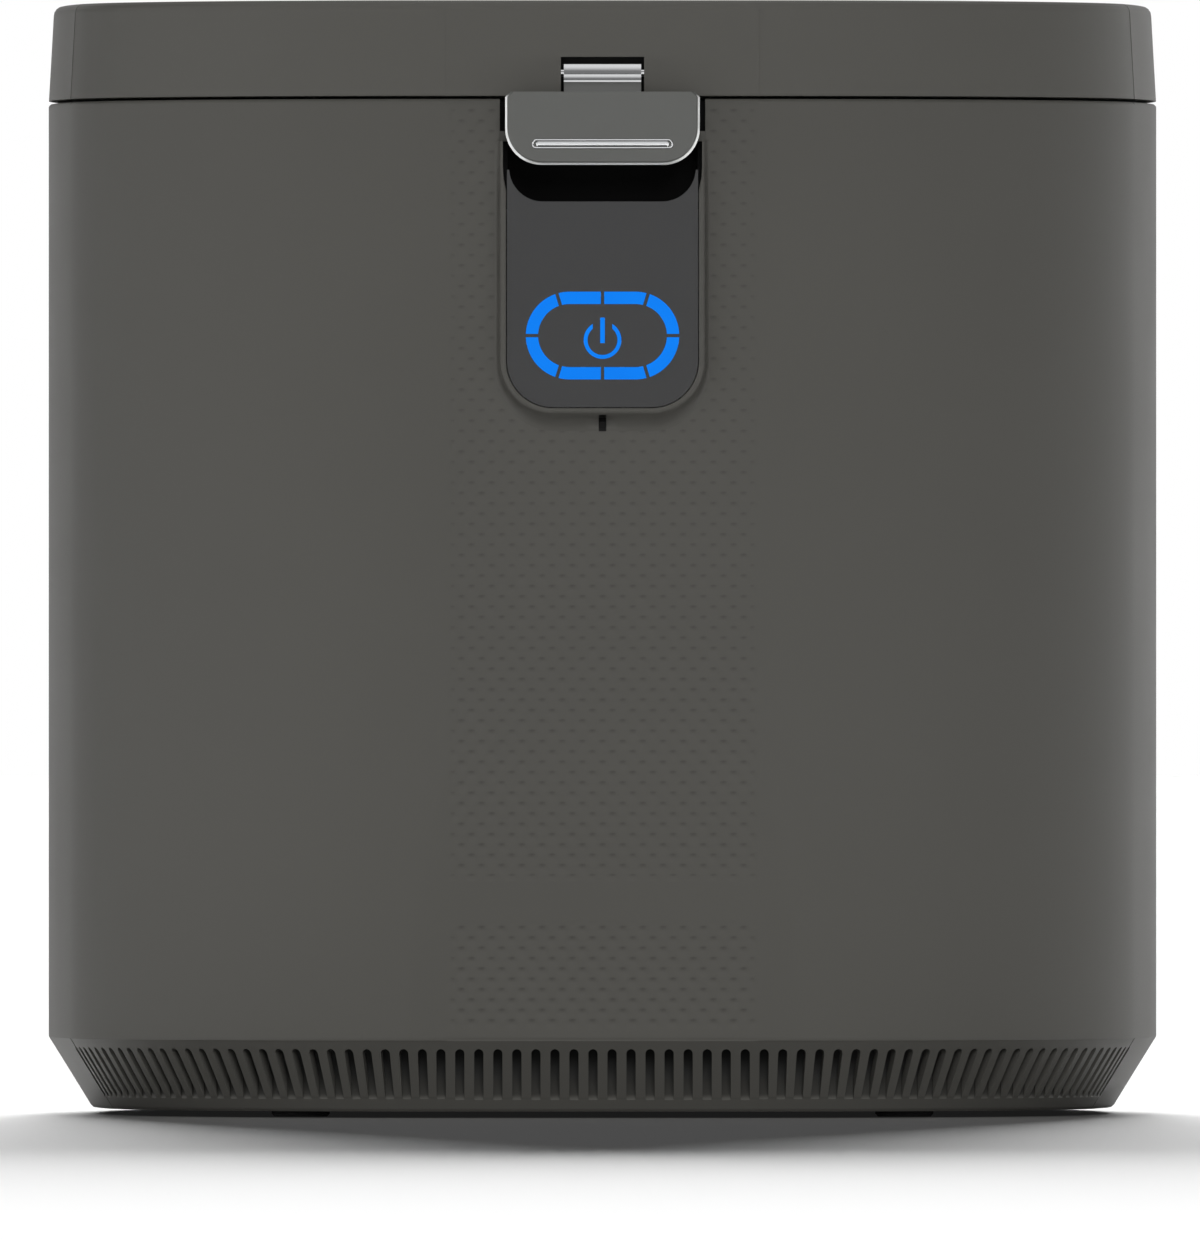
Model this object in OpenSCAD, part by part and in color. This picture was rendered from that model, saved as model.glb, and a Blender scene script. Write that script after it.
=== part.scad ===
// Electric food waste composter for a worktop: a five litre bucket with a driven agitator,
// a heated well, a charcoal filter behind it and a hinged lid held by a front latch.
// Front faces -Y, the origin is under the middle of the machine, on the plane that it stands on.

/* [Body] */
// Width of the body
body_w = 300; // [290:1:330]
// Depth of the bay behind the bucket, for the fan, the filter and the hinge
bay_d = 84; // [80:1:96]
// Height of the body without its lid
body_h = 273; // [268:1:290]
// Thickness of the moulded walls
wall = 2.8; // [2.2:0.1:3.4]
// Radius of the two front corners
front_r = 103; // [95:1:110]
// Radius of the two rear corners
rear_r = 70; // [60:1:85]
// Radius of the slightly bowed sides
side_r = 432; // [380:1:520]
// Angle that the side has already turned where the front corner ends
side_turn = 10; // [8:0.5:12]
// Space between the body and the surface that it stands on
foot_gap = 1.6; // [1.2:0.1:4]

/* [Skirt] */
// Height of the crease where the wall turns in
crease_z = 20.6; // [18:0.1:24]
// How far the skirt leans in at its lower edge
skirt_in = 11.3; // [10.5:0.1:12]
// Height of the skirt's lower edge
skirt_low = 2.3; // [2:0.1:3]
// Number of vent slots on each side of the middle
slots_half = 37; // [8:1:37]
// Spacing of the vent slots along the outline
slot_pitch = 5.1; // [4.6:0.05:5.15]
// Width of one vent slot
slot_w = 2.46; // [1.6:0.02:3]
// Height of the round upper end of a slot
slot_top = 18.4; // [15:0.1:19]
// Depth from the wall's outer face to the floor of a slot
slot_deep = 9.8; // [9:0.1:10]

/* [Feet] */
// Radius of a rubber foot
foot_r = 7.8; // [6:0.1:10]
// Distance of the front feet in from the widest part of the sides
front_foot_side = 68.9; // [60:0.1:80]
// Distance of the front feet behind the front face
front_foot_in = 42.5; // [38:0.5:60]
// Distance of the rear feet in from the widest part of the sides
rear_foot_side = 42.3; // [40:0.1:60]
// Distance of the rear feet in front of the rear face
rear_foot_in = 70.5; // [64:0.5:80]

/* [Lid] */
// Height of the lid over the gap line
lid_h = 25.6; // [24:0.1:30]
// Gap between the body's rim and the lid's lower edge
lid_gap = 0.9; // [0.6:0.1:1.4]
// How far the lid's sides lean in
lid_lean = 1.3; // [0.8:0.1:1.8]
// Radius of the lid's upper edge
lid_round = 2.4; // [1.5:0.1:3]
// Reach of the shallow chamfer under the lid's edge
lid_chamfer = 5.3; // [4:0.1:6]
// Largest opening angle of the lid
lid_open = 95; // [80:1:95]

/* [Hinge] */
// Radius of the hinge barrel
hinge_r = 3.5; // [3:0.1:4]
// Distance from the rear face to the hinge axis
hinge_back = 4; // [4:0.1:5]
// Radius of the hinge pin
hinge_pin_r = 1.6; // [1.2:0.05:2]
// Length of one hinge knuckle
knuckle_len = 20; // [14:0.5:22]

/* [Latch] */
// Width of the lever plate
lever_w = 52.1; // [46:0.1:52.4]
// Height of the lever plate
lever_h = 19.6; // [17:0.1:21]
// Thickness of the lever plate
lever_t = 2.8; // [2.2:0.1:3]
// Radius of the lower corners of the lever plate
lever_r = 9.7; // [6:0.1:9.8]
// Radius of the barrel that the lever turns on
barrel_r = 2.75; // [2.4:0.05:2.8]
// Length of the barrel
barrel_len = 20.7; // [18:0.1:21]
// Radius of the latch pin
latch_pin_r = 1.3; // [1:0.05:1.5]
// Width of the notch in the lid
notch_w = 22.3; // [22:0.1:24]
// Height of the notch's upper edge over the lid's lower edge
notch_h = 10.4; // [10:0.1:11]

/* [Controls] */
// Width of the control panel
panel_w = 51.2; // [46:0.1:51.4]
// Distance of the panel's lower edge below the body's rim
panel_drop = 82.6; // [77:0.1:92]
// Radius of the panel's lower corners
panel_r = 12.4; // [8:0.1:16]
// Width of the bezel round the panel
bezel_w = 1.6; // [1.4:0.1:2.2]
// How far the control pod stands out of the front face
pod_out = 4; // [3:0.1:4.4]
// Width of the ring of lights
ring_w = 41.1; // [34:0.1:44]
// Height of the ring of lights
ring_h = 23.5; // [18:0.1:26]
// Stroke of the ring of lights
ring_stroke = 3.3; // [2:0.1:4]
// Distance of the middle of the ring of lights below the body's rim
ring_drop = 63.4; // [59:0.1:67]

/* [Bucket] */
// Outer radius of the bucket under its rim
bucket_r = 98; // [92:0.5:99]
// Narrowing of the bucket from rim to floor
bucket_taper = 4; // [2:0.5:8]
// Height of the drive and heater between the base pan and the bucket
works_h = 101.9; // [100:0.1:130]
// Wall thickness of the bucket
bucket_wall = 2; // [1.5:0.1:3]
// Width of the rolled rim outside the wall
rim_out = 4; // [2:0.5:4]
// Space between the front face and the bucket's opening
front_room = 18; // [17:0.5:20]

/* [Drive] */
// Tooth module of the gears
gear_module = 2.5; // [2:0.25:2.5]
// Teeth on the driven gear
gear_teeth = 36; // [30:1:40]
// Teeth on the motor pinion
pinion_teeth = 12; // [12:1:14]
// Width of the gear teeth
gear_face = 12; // [8:0.5:14]
// Pressure angle of the teeth
pressure = 25; // [25:0.5:27]
// Number of arms on the agitator
arms = 3; // [2:1:4]
// Radius of the drive shaft
shaft_r = 8; // [6:0.5:8]

/* [Filter] */
// Width of the filter cartridge
filter_w = 88; // [70:1:92]
// Height of the filter cartridge
filter_h = 62; // [50:1:66]
// Depth of the filter cartridge
filter_d = 60; // [45:1:62]
// Height of the middle of the filter
filter_z = 168; // [160:1:172]
// Radius of the fan impeller
fan_r = 25; // [20:0.5:27]
// Number of fan blades
fan_blades = 7; // [5:1:9]

/* [Hidden] */
$fn = 128;

BODY = [0.30, 0.30, 0.28];
LID = [0.33, 0.33, 0.31];
PANEL = [0.26, 0.26, 0.26];
DARK = [0.10, 0.10, 0.10];
BLUE = [0.05, 0.50, 1.00];
CHROME = [0.85, 0.86, 0.88];
STEEL = [0.62, 0.63, 0.65];
LEVER = [0.37, 0.37, 0.36];
RUBBER = [0.12, 0.12, 0.12];
CERAMIC = [0.36, 0.37, 0.38];
BRASS = [0.76, 0.62, 0.32];
BOARD = [0.10, 0.32, 0.18];
NYLON = [0.86, 0.85, 0.80];
CHARCOAL = [0.06, 0.06, 0.06];

// Clearances: between pieces that stay put, between pieces that slide, and of a turning bore.
fit = 0.3;
slide_fit = 0.5;
run_fit = 0.06;
eps = 0.01;

// Plan outline: a front flat, corner arcs, bowed sides, rear corner arcs and a rear flat, all tangent.
collar_r = bucket_r + rim_out + 7.5;
body_d = front_room + 2 * collar_r + bay_d;
front_y = -body_d / 2;
rear_y = body_d / 2;
side_cx = body_w / 2 - side_r;
flat_half = side_cx + (side_r - front_r) * cos(side_turn);
corner_y = front_y + front_r;
side_cy = corner_y + (side_r - front_r) * sin(side_turn);
rear_turn = asin((rear_y - rear_r - side_cy) / (side_r - rear_r));
rear_cx = side_cx + (side_r - rear_r) * cos(rear_turn);
rear_cy = rear_y - rear_r;

foot_front_x = body_w / 2 - front_foot_side;
foot_front_y = front_y + front_foot_in;
foot_rear_x = body_w / 2 - rear_foot_side;
foot_rear_y = rear_y - rear_foot_in;
panel_low = body_h - panel_drop;
ring_z = body_h - ring_drop;
lid_low = body_h + lid_gap;
lid_top = lid_low + lid_h;
inside = wall + fit;

function arc_pts(cx, cy, r, a0, a1, n) =
    [for (i = [0 : n]) [cx + r * cos(a0 + (a1 - a0) * i / n), cy + r * sin(a0 + (a1 - a0) * i / n)]];

// Right half of the outline from front to rear, moved in by the given distance. fine sets how
// many points the corners get.
function half_outline(inset, fine) = concat(
    arc_pts(flat_half, corner_y, front_r - inset, -90, -side_turn, 5 * fine),
    arc_pts(side_cx, side_cy, side_r - inset, -side_turn / 2, rear_turn / 2, fine),
    arc_pts(rear_cx, rear_cy, rear_r - inset, rear_turn, 90, 4 * fine)
);
function mirrored(pts) = [for (i = [len(pts) - 1 : -1 : 0]) [-pts[i][0], pts[i][1]]];
function outline(inset, fine = 1) = concat(half_outline(inset, fine), mirrored(half_outline(inset, fine)));

// One stretch of the outline on an arc, cut out of the whole ring between two angles. The profile's
// x is measured outwards from the wall's face.
module arc_stretch(cx, cy, r, a0, a1) {
    translate([cx, cy, 0])
        intersection() {
            rotate_extrude()
                translate([r, 0])
                    children();
            translate([0, 0, -1])
                linear_extrude(lid_top + 2)
                    polygon(concat([[0, 0]], arc_pts(0, 0, 2 * r, a0, a1, 4)));
        }
}

// A profile carried once round the plan outline. The corners lie a hair inside the flats and the
// bowed sides and reach a little way under them, so that no two faces there are quite the same.
tuck = 0.12;
tuck_len = 1.1;
module around() {
    front_turn = tuck_len / front_r * 180 / PI;
    back_turn = tuck_len / rear_r * 180 / PI;
    for (side = [0, 1])
        mirror([side, 0, 0]) {
            arc_stretch(flat_half, corner_y, front_r - tuck, -90 - front_turn, -side_turn + front_turn)
                children();
            arc_stretch(side_cx, side_cy, side_r, -side_turn, rear_turn)
                children();
            arc_stretch(rear_cx, rear_cy, rear_r - tuck, rear_turn - back_turn, 90 + back_turn)
                children();
        }
    translate([-flat_half, front_y, 0])
        mirror([0, 1, 0])
            rotate([90, 0, 90])
                linear_extrude(2 * flat_half)
                    children();
    translate([-rear_cx, rear_y, 0])
        rotate([90, 0, 90])
            linear_extrude(2 * rear_cx)
                children();
}

// A flat plate with the plan outline, moved in by inset.
band = 30;
module plan_plate(inset, z, t) {
    around()
        translate([-inset - band, z])
            square([band, t]);
    translate([0, 0, z])
        linear_extrude(t)
            polygon(outline(inset + band / 2));
}

module box(x0, x1, y0, y1, z0, z1) {
    translate([x0, y0, z0])
        cube([x1 - x0, y1 - y0, z1 - z0]);
}

// A cylinder along X between two x values.
module rod_x(x0, x1, y, z, r) {
    translate([x0, y, z])
        rotate([0, 90, 0])
            cylinder(h = x1 - x0, r = r);
}

// A cylinder along Y between two y values.
module rod_y(x, y0, y1, z, r) {
    translate([x, y0, z])
        rotate([-90, 0, 0])
            cylinder(h = y1 - y0, r = r);
}

// A cylinder along Z, and a tube along Z.
module rod_z(x, y, z0, z1, r) {
    translate([x, y, z0])
        cylinder(h = z1 - z0, r = r);
}
module tube_z(x, y, z0, z1, r_out, r_in) {
    difference() {
        rod_z(x, y, z0, z1, r_out);
        rod_z(x, y, z0 - 1, z1 + 1, r_in);
    }
}

// A plate in the XZ plane with its outline as children, from y0 back to y1.
module front_plate(y0, y1) {
    translate([0, y1, 0])
        rotate([90, 0, 0])
            linear_extrude(y1 - y0)
                children();
}

// A rectangle with its two lower corners rounded, as an outline.
module tongue(half_w, low, high, r) {
    square_top = max(high, low + r + eps);
    translate([-half_w, low + r])
        square([2 * half_w, square_top - low - r]);
    translate([-half_w + r, low])
        square([2 * half_w - 2 * r, r]);
    for (side = [-1, 1])
        translate([side * (half_w - r), low + r])
            circle(r);
}

// Housing: one tall moulding, open above and below, with its vent slots cut in the skirt.
skin = wall / cos(atan(skirt_in / (crease_z - skirt_low)));
skirt_foot = skirt_in + 0.7;
skirt_inner = skirt_foot + skin;
module wall_profile() {
    polygon([
        [0, body_h - 0.5], [0, crease_z], [-skirt_in, skirt_low], [-skirt_foot, foot_gap],
        [-skirt_inner, foot_gap], [-wall, crease_z + 0.8], [-wall, body_h], [-0.5, body_h]
    ]);
}

// Moves its children to a point on the front outline, with +Y running outwards from the wall.
module on_front(s) {
    past = max(0, abs(s) - flat_half);
    turn = sign(s) * past / front_r * 180 / PI;
    x = past > 0 ? sign(s) * flat_half : s;
    translate([x, corner_y, 0])
        rotate([0, 0, turn])
            translate([0, -front_r, 0])
                mirror([0, 1, 0])
                    children();
}

// One vent slot, straight sided with a round upper end.
module slot_cutter() {
    straight = slot_top - slot_w / 2;
    translate([-slot_w / 2, -slot_deep, 0])
        cube([slot_w, slot_deep + 2, straight]);
    rod_y(0, -slot_deep, 2, straight, slot_w / 2);
}

recess_w = lever_w + 2.9;
recess_low = body_h - 8.6;
bridge_h = 2.7;
lever_top = body_h + 1.9;
lever_low = lever_top - lever_h;
finger_low = lever_low - 9.8;
pod_top = recess_low - bridge_h;
pod_half = panel_w / 2 + 0.2 + bezel_w;
collar_half = panel_w / 2 + 0.9;
filter_half_w = filter_w / 2;
filter_half_h = filter_h / 2;
door_over = 3.5;
inlet_x = -45;
inlet_z = 50;
inlet_w = 28;
inlet_h = 23;

module housing_shell() {
    color(BODY)
        difference() {
            around()
                wall_profile();
            for (k = [0 : slots_half - 1], side = [-1, 1])
                on_front(side * (k + 0.5) * slot_pitch)
                    slot_cutter();
            box(-recess_w / 2, recess_w / 2, front_y - 1, front_y + wall + 1, recess_low, body_h + 1);
            front_plate(front_y - 1, front_y + wall + 1)
                tongue(collar_half + fit, panel_low - 0.7 - fit, pod_top, panel_r);
            box(-filter_half_w - door_over - slide_fit, filter_half_w + door_over + slide_fit,
                rear_y - wall - 1, rear_y + 1,
                filter_z - filter_half_h - door_over - slide_fit,
                filter_z + filter_half_h + door_over + slide_fit);
            box(inlet_x - inlet_w / 2 - fit, inlet_x + inlet_w / 2 + fit, rear_y - wall - 1, rear_y + 1,
                inlet_z - inlet_h / 2 - fit, inlet_z + inlet_h / 2 + fit);
        }
}

// Base pan: the floor, with intake louvres under the rear bay and posts for the mains board.
pan_t = 2.5;
pan_top = foot_gap + pan_t;
module base_pan() {
    color(DARK)
        difference() {
            union() {
                translate([0, 0, foot_gap])
                    linear_extrude(pan_t)
                        polygon(outline(skirt_inner + fit, 3));
                for (p = board_posts)
                    rod_z(p[0], p[1], pan_top - eps, board_z, 3);
            }
            for (side = [-1, 1]) {
                rod_z(side * foot_front_x, foot_front_y, -1, pan_top + 1, stem_r + 0.1);
                rod_z(side * foot_rear_x, foot_rear_y, -1, pan_top + 1, stem_r + 0.1);
            }
            for (k = [-4 : 4])
                box(-30, 30, 70 + 8 * k - 1.5, 70 + 8 * k + 1.5, foot_gap - 1, pan_top + 1);
        }
}

// Vent liner: an upstand on the pan, close behind the slots.
liner_in = slot_deep + fit;
liner_bend = foot_gap + (skirt_inner - liner_in) * (crease_z + 0.8 - foot_gap) / (skirt_inner - wall) + fit;
liner_t = 2;
module vent_liner() {
    color(DARK)
        around()
            polygon([
                [-liner_in, crease_z + 0.4], [-liner_in, liner_bend],
                [-skirt_inner + 1, pan_top], [-skirt_inner - 4, pan_top],
                [-skirt_inner - 4, pan_top + 1.5], [-skirt_inner - 0.6, pan_top + 1.5],
                [-liner_in - liner_t, liner_bend + 0.4], [-liner_in - liner_t, crease_z + 0.4]
            ]);
}

// Rubber foot: a low pad with a stem pushed through the pan.
stem_r = 3;
module foot(x, y) {
    color(RUBBER) {
        rod_z(x, y, foot_gap / 2, foot_gap, foot_r);
        translate([x, y, 0])
            cylinder(h = foot_gap / 2, r1 = foot_r - 0.7, r2 = foot_r);
        rod_z(x, y, foot_gap - eps, pan_top + 1.2, stem_r);
    }
}
module foot_front_left() {
    foot(-foot_front_x, foot_front_y);
}
module foot_front_right() {
    foot(foot_front_x, foot_front_y);
}
module foot_rear_left() {
    foot(-foot_rear_x, foot_rear_y);
}
module foot_rear_right() {
    foot(foot_rear_x, foot_rear_y);
}

// Control pod: the raised frame round the panel. Its lower edge runs out to the wall in a slope.
pod_front = front_y - pod_out;
pod_low = panel_low - bezel_w;
lever_clear = lever_w / 2 + 0.55;
module control_pod() {
    color(BODY)
        difference() {
            union() {
                hull() {
                    front_plate(pod_front, pod_front + 0.1)
                        tongue(pod_half, pod_low, pod_top, panel_r + bezel_w, $fn = 32);
                    front_plate(front_y - 0.1, front_y)
                        tongue(pod_half + 0.8, pod_low - pod_out, pod_top + 0.8,
                            panel_r + bezel_w + 1, $fn = 32);
                }
                front_plate(front_y - eps, front_y + wall - 0.2)
                    tongue(collar_half, panel_low - 0.7, pod_top - fit, panel_r);
            }
            front_plate(pod_front - 1, front_y + wall + 1)
                tongue(panel_w / 2 + 0.2, panel_low - 0.2, pod_top + 9, panel_r + 0.2);
            box(-lever_clear, lever_clear, pod_front - 1, front_y, lever_low - 1.6, pod_top + 9);
            box(-1, 1, pod_front - 1, pod_front + 2.4, pod_low - pod_out - 1, pod_low - 0.6);
        }
}

// Touch panel: satin plate with the lights showing through it.
panel_front = pod_front + 0.3;
panel_back = panel_front + 2.2;
glow_fit = 0.05;
horn = 0.6;
module control_panel() {
    color(PANEL)
        difference() {
            union() {
                front_plate(panel_front, panel_back)
                    difference() {
                        tongue(panel_w / 2, panel_low, finger_low + 8.5, panel_r);
                        tongue(panel_w / 2 - horn, finger_low, finger_low + 20, 9);
                    }
                box(-panel_w / 2 + 9, panel_w / 2 - 9, panel_front + 1, front_y + wall - 0.2,
                    finger_low - 2, finger_low);
            }
            front_plate(panel_front - 1, panel_back + 1)
                light_outline(glow_fit);
            front_plate(panel_front - 1, panel_back + 1)
                power_outline(glow_fit);
        }
}

// Stadium outline about the middle of the lights.
module stadium(w, h) {
    square([w - h, h], center = true);
    for (side = [-1, 1])
        translate([side * (w - h) / 2, 0])
            circle(h / 2);
}

// Ring of lights, parted into eight by narrow bars. grow widens each light all round.
bar_gap = 0.9;
module light_outline(grow) {
    translate([0, ring_z])
        difference() {
            stadium(ring_w + 2 * grow, ring_h + 2 * grow);
            stadium(ring_w - 2 * ring_stroke - 2 * grow, ring_h - 2 * ring_stroke - 2 * grow);
            square([bar_gap - 2 * grow, ring_h + 4], center = true);
            square([ring_w + 4, bar_gap - 2 * grow], center = true);
            for (side = [-1, 1], lean = [-1, 1])
                translate([side * (ring_w - ring_h) / 2, 0])
                    rotate([0, 0, lean * side * 17])
                        translate([0, -lean * ring_h / 2])
                            square([bar_gap - 2 * grow, 2 * ring_stroke + 4], center = true);
        }
}
module indicator_ring() {
    color(BLUE)
        front_plate(panel_front - 0.05, panel_back)
            light_outline(0);
}

// Power sign: an open ring with a bar in the opening.
power_r = 5.05;
power_stroke = 1.05;
module power_outline(grow) {
    translate([0, ring_z - 1.2]) {
        difference() {
            circle(power_r + grow);
            circle(power_r - power_stroke - grow);
            translate([0, power_r])
                square([5.2 - 2 * grow, 2 * power_r], center = true);
        }
        translate([0, 2.6])
            square([1.25 + 2 * grow, 6.8 + 2 * grow], center = true);
    }
}
module power_mark() {
    color(BLUE)
        front_plate(panel_front - 0.05, panel_back)
            power_outline(0);
}

// Latch cup: the dark pocket behind the lever, for the fingers and the hook.
cup_half = recess_w / 2 + 2;
cup_front = front_y + wall;
cup_back = cup_front + 11.2;
cup_wall = 2;
module latch_cup() {
    color(DARK)
        difference() {
            box(-cup_half, cup_half, cup_front, cup_back, finger_low - cup_wall, body_h - 0.5);
            box(-cup_half + 4, cup_half - 4, cup_front - 1, cup_back - cup_wall, finger_low, body_h - 2.5);
        }
}

// Keeper: the steel strip that the lever's hook goes under.
keeper_front = cup_front + 1.2;
keeper_low = body_h - 5.1;
keeper_t = 1.5;
module latch_keeper() {
    inner = cup_back - cup_wall;
    color(STEEL) {
        box(-12, 12, keeper_front, inner, keeper_low, keeper_low + keeper_t);
        box(-12, 12, inner - keeper_t, inner, keeper_low - 8, keeper_low + eps);
    }
}

// Deck and well. The well is stepped: wide at the top for the bail, close round the bucket below.
bucket_y = front_y + front_room + collar_r;
well_r = bucket_r + 3.5;
well_t = 2.5;
deck_t = 3;
deck_top = body_h - 1.5;
deck_low = deck_top - deck_t;
bucket_top = deck_low - 4.5;
bucket_low = pan_top + works_h;
bucket_h = bucket_top - bucket_low;
heater_gap = 0.3;
heater_t = 2.7;
floor_top = bucket_low - heater_gap - heater_t;
floor_t = 3;
floor_low = floor_top - floor_t;
step_z = deck_low - 22.5;
dog_hole_r = 13.5;
module top_deck() {
    color(DARK)
        difference() {
            plan_plate(inside, deck_low, deck_t);
            rod_z(0, bucket_y, deck_low - 1, deck_top + 1, collar_r);
            box(-cup_half - fit, cup_half + fit, front_y, cup_back + fit, deck_low - 1, deck_top + 1);
        }
}
module bucket_well() {
    color(STEEL)
        difference() {
            translate([0, bucket_y, 0])
                rotate_extrude()
                    polygon([
                        [dog_hole_r, floor_low], [well_r + well_t, floor_low],
                        [well_r + well_t, step_z - well_t], [collar_r + well_t, step_z - well_t],
                        [collar_r + well_t, deck_low - 2], [collar_r + well_t + 1, deck_low - 2],
                        [collar_r + well_t + 1, deck_low], [collar_r, deck_low],
                        [collar_r, step_z], [well_r, step_z],
                        [well_r, floor_top], [dog_hole_r, floor_top]
                    ]);
            rod_y(0, bucket_y + 50, bucket_y + well_r + 10, filter_z, duct_r);
        }
}
module heater_plate() {
    color(BRASS)
        tube_z(0, bucket_y, floor_top, floor_top + heater_t, bucket_r - 10, 20);
}

// Gears with involute flanks. Angles are in degrees, lengths in millimetres.
function involute(base, r) =
    let(t = sqrt(max(0, r * r / (base * base) - 1)))
    t * 180 / PI - atan(t);
function gear_points(teeth, slack) =
    let(
        pitch = gear_module * teeth / 2,
        base = pitch * cos(pressure),
        root = pitch - 1.25 * gear_module,
        low = max(base, root),
        step = (pitch + gear_module - low) / 3,
        centre = 90 / teeth - slack / pitch * 180 / PI + involute(base, pitch),
        radii = [for (i = [0 : 3]) low + step * i],
        half = [for (r = radii) centre - involute(base, r)],
        up = [for (i = [0 : 3]) [radii[i], -half[i]]],
        down = [for (i = [3 : -1 : 0]) [radii[i], half[i]]],
        foot = root < base ? [[root, -half[0]]] : [],
        toe = root < base ? [[root, half[0]]] : []
    )
    [
        for (k = [0 : teeth - 1], p = concat(foot, up, down, toe))
            let(a = 360 * k / teeth + p[1])
            [p[0] * cos(a), p[0] * sin(a)]
    ];

// Drive train under the well, carried by a frame of two plates on four posts.
slack = 0.12;
centre_dist = gear_module * (gear_teeth + pinion_teeth) / 2;
upper_top = floor_low - 12;
plate_t = 4;
upper_low = upper_top - plate_t;
gear_top = upper_low - 6;
gear_low = gear_top - gear_face;
lower_top = gear_low - 8;
lower_low = lower_top - plate_t;
frame_reach = 56;
post_r = 5;
frame_x0 = -frame_reach;
frame_x1 = centre_dist + 26;
frame_posts = [
    for (x = [frame_x0, frame_x1], y = [bucket_y - frame_reach, bucket_y + frame_reach]) [x, y]
];
pinion_shaft_r = 4;
motor_r = 29;
motor_h = 42;
bearing_r = dog_hole_r - 0.3;
stub = 11;
module frame_plate(z0, z1) {
    margin = post_r + 3;
    box(frame_x0 - margin, frame_x1 + margin, bucket_y - frame_reach - margin,
        bucket_y + frame_reach + margin, z0, z1);
}
module gear_frame_lower() {
    color(STEEL)
        difference() {
            union() {
                frame_plate(lower_low, lower_top);
                for (p = frame_posts)
                    rod_z(p[0], p[1], pan_top, upper_low, post_r);
            }
            rod_z(0, bucket_y, lower_low - 1, lower_top + 1, shaft_r + run_fit);
            rod_z(centre_dist, bucket_y, lower_low - 1, lower_top + 1, pinion_shaft_r + fit);
        }
}
module gear_frame_upper() {
    color(STEEL)
        difference() {
            union() {
                frame_plate(upper_low, upper_top);
                for (p = frame_posts)
                    rod_z(p[0], p[1], upper_top - eps, floor_low, post_r);
            }
            rod_z(0, bucket_y, upper_low - 1, upper_top + 1, bearing_r);
        }
}
module output_bearing() {
    color(BRASS)
        tube_z(0, bucket_y, upper_low, floor_low - 3.5, bearing_r, shaft_r + run_fit);
}
module drive_motor() {
    shaft_hole = 10;
    color(STEEL)
        difference() {
            union() {
                rod_z(centre_dist, bucket_y, lower_low - motor_h, lower_low - 4, motor_r);
                rod_z(centre_dist, bucket_y, lower_low - 4 - eps, lower_low, motor_r - 5);
                rod_z(centre_dist, bucket_y, lower_low - motor_h - 2, lower_low - motor_h + eps, 9);
            }
            rod_z(centre_dist, bucket_y, lower_low - shaft_hole, lower_low + 1, pinion_shaft_r + run_fit);
        }
}
module drive_gear() {
    color(NYLON)
        difference() {
            translate([0, bucket_y, gear_low])
                linear_extrude(gear_face)
                    polygon(gear_points(gear_teeth, slack));
            rod_z(0, bucket_y, gear_low - 1, gear_top + 1, shaft_r);
            for (k = [0 : 5])
                translate([0, bucket_y, 0])
                    rotate([0, 0, 60 * k])
                        rod_z(gear_module * gear_teeth / 2 - 18, 0, gear_low - 1, gear_top + 1, 8);
        }
}
module drive_shaft() {
    color(CHROME) {
        rod_z(0, bucket_y, lower_low - 2, floor_low - 4, shaft_r);
        translate([-stub / 2, bucket_y - stub / 2, floor_low - 4 - eps])
            cube([stub, stub, 6.7]);
    }
}
module motor_pinion() {
    color(BRASS) {
        translate([centre_dist, bucket_y, gear_low])
            rotate([0, 0, 180 + 180 / pinion_teeth])
                linear_extrude(gear_face)
                    polygon(gear_points(pinion_teeth, slack));
        rod_z(centre_dist, bucket_y, lower_low - 9, gear_low + eps, pinion_shaft_r);
        rod_z(centre_dist, bucket_y, gear_top - eps, gear_top + 3, pinion_shaft_r);
    }
}

// Boards: one behind the panel, one on posts in the base.
board_t = 1.6;
board_z = pan_top + 6;
board_x0 = 28 - body_w / 2;
board_x1 = board_x0 + 50;
board_y0 = bucket_y - 37;
board_y1 = board_y0 + 80;
board_posts = [for (x = [board_x0 + 5, board_x1 - 5], y = [board_y0 + 5, board_y1 - 5]) [x, y]];
module control_board() {
    color(BOARD)
        box(-ring_w / 2 - 0.5, ring_w / 2 + 0.5, panel_back, panel_back + board_t,
            ring_z - ring_h / 2 - 5.3, ring_z + ring_h / 2 + 5.3);
}
module power_board() {
    color(BOARD)
        box(board_x0, board_x1, board_y0, board_y1, board_z, board_z + board_t);
    color(DARK) {
        box(board_x0 + 8, board_x0 + 30, board_y0 + 12, board_y0 + 40, board_z + board_t - eps, board_z + 22);
        rod_z(board_x1 - 12, board_y1 - 22, board_z + board_t - eps, board_z + 26, 8);
    }
}

// Fan, duct, filter sleeve: air leaves the well through the charcoal and out of the rear.
duct_r = 22;
fan_front = bucket_y + well_r + well_t + 5;
fan_back = fan_front + 14;
fan_half = fan_r + 6;
axle_r = 2;
module exhaust_duct() {
    color(DARK)
        difference() {
            rod_y(0, bucket_y + well_r - 4, fan_front, filter_z, duct_r + 2);
            rod_y(0, bucket_y + well_r - 5, fan_front + 1, filter_z, duct_r);
            rod_z(0, bucket_y, filter_z - duct_r - 5, filter_z + duct_r + 5, well_r + well_t);
        }
}
module fan_frame() {
    color(DARK) {
        difference() {
            box(-fan_half, fan_half, fan_front, fan_back, filter_z - fan_half, filter_z + fan_half);
            rod_y(0, fan_front - 1, fan_back + 1, filter_z, fan_r + 1.5);
        }
        difference() {
            for (turn = [45, 135])
                translate([0, 0, filter_z])
                    rotate([0, turn, 0])
                        box(-fan_r - 2.5, fan_r + 2.5, fan_back - 2, fan_back, -2, 2);
            rod_y(0, fan_back - 3, fan_back + 1, filter_z, 7);
        }
        rod_y(0, fan_back - 2.5, fan_back, filter_z, 8);
        rod_y(0, fan_front + 3, fan_back - 2, filter_z, axle_r);
    }
}
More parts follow.
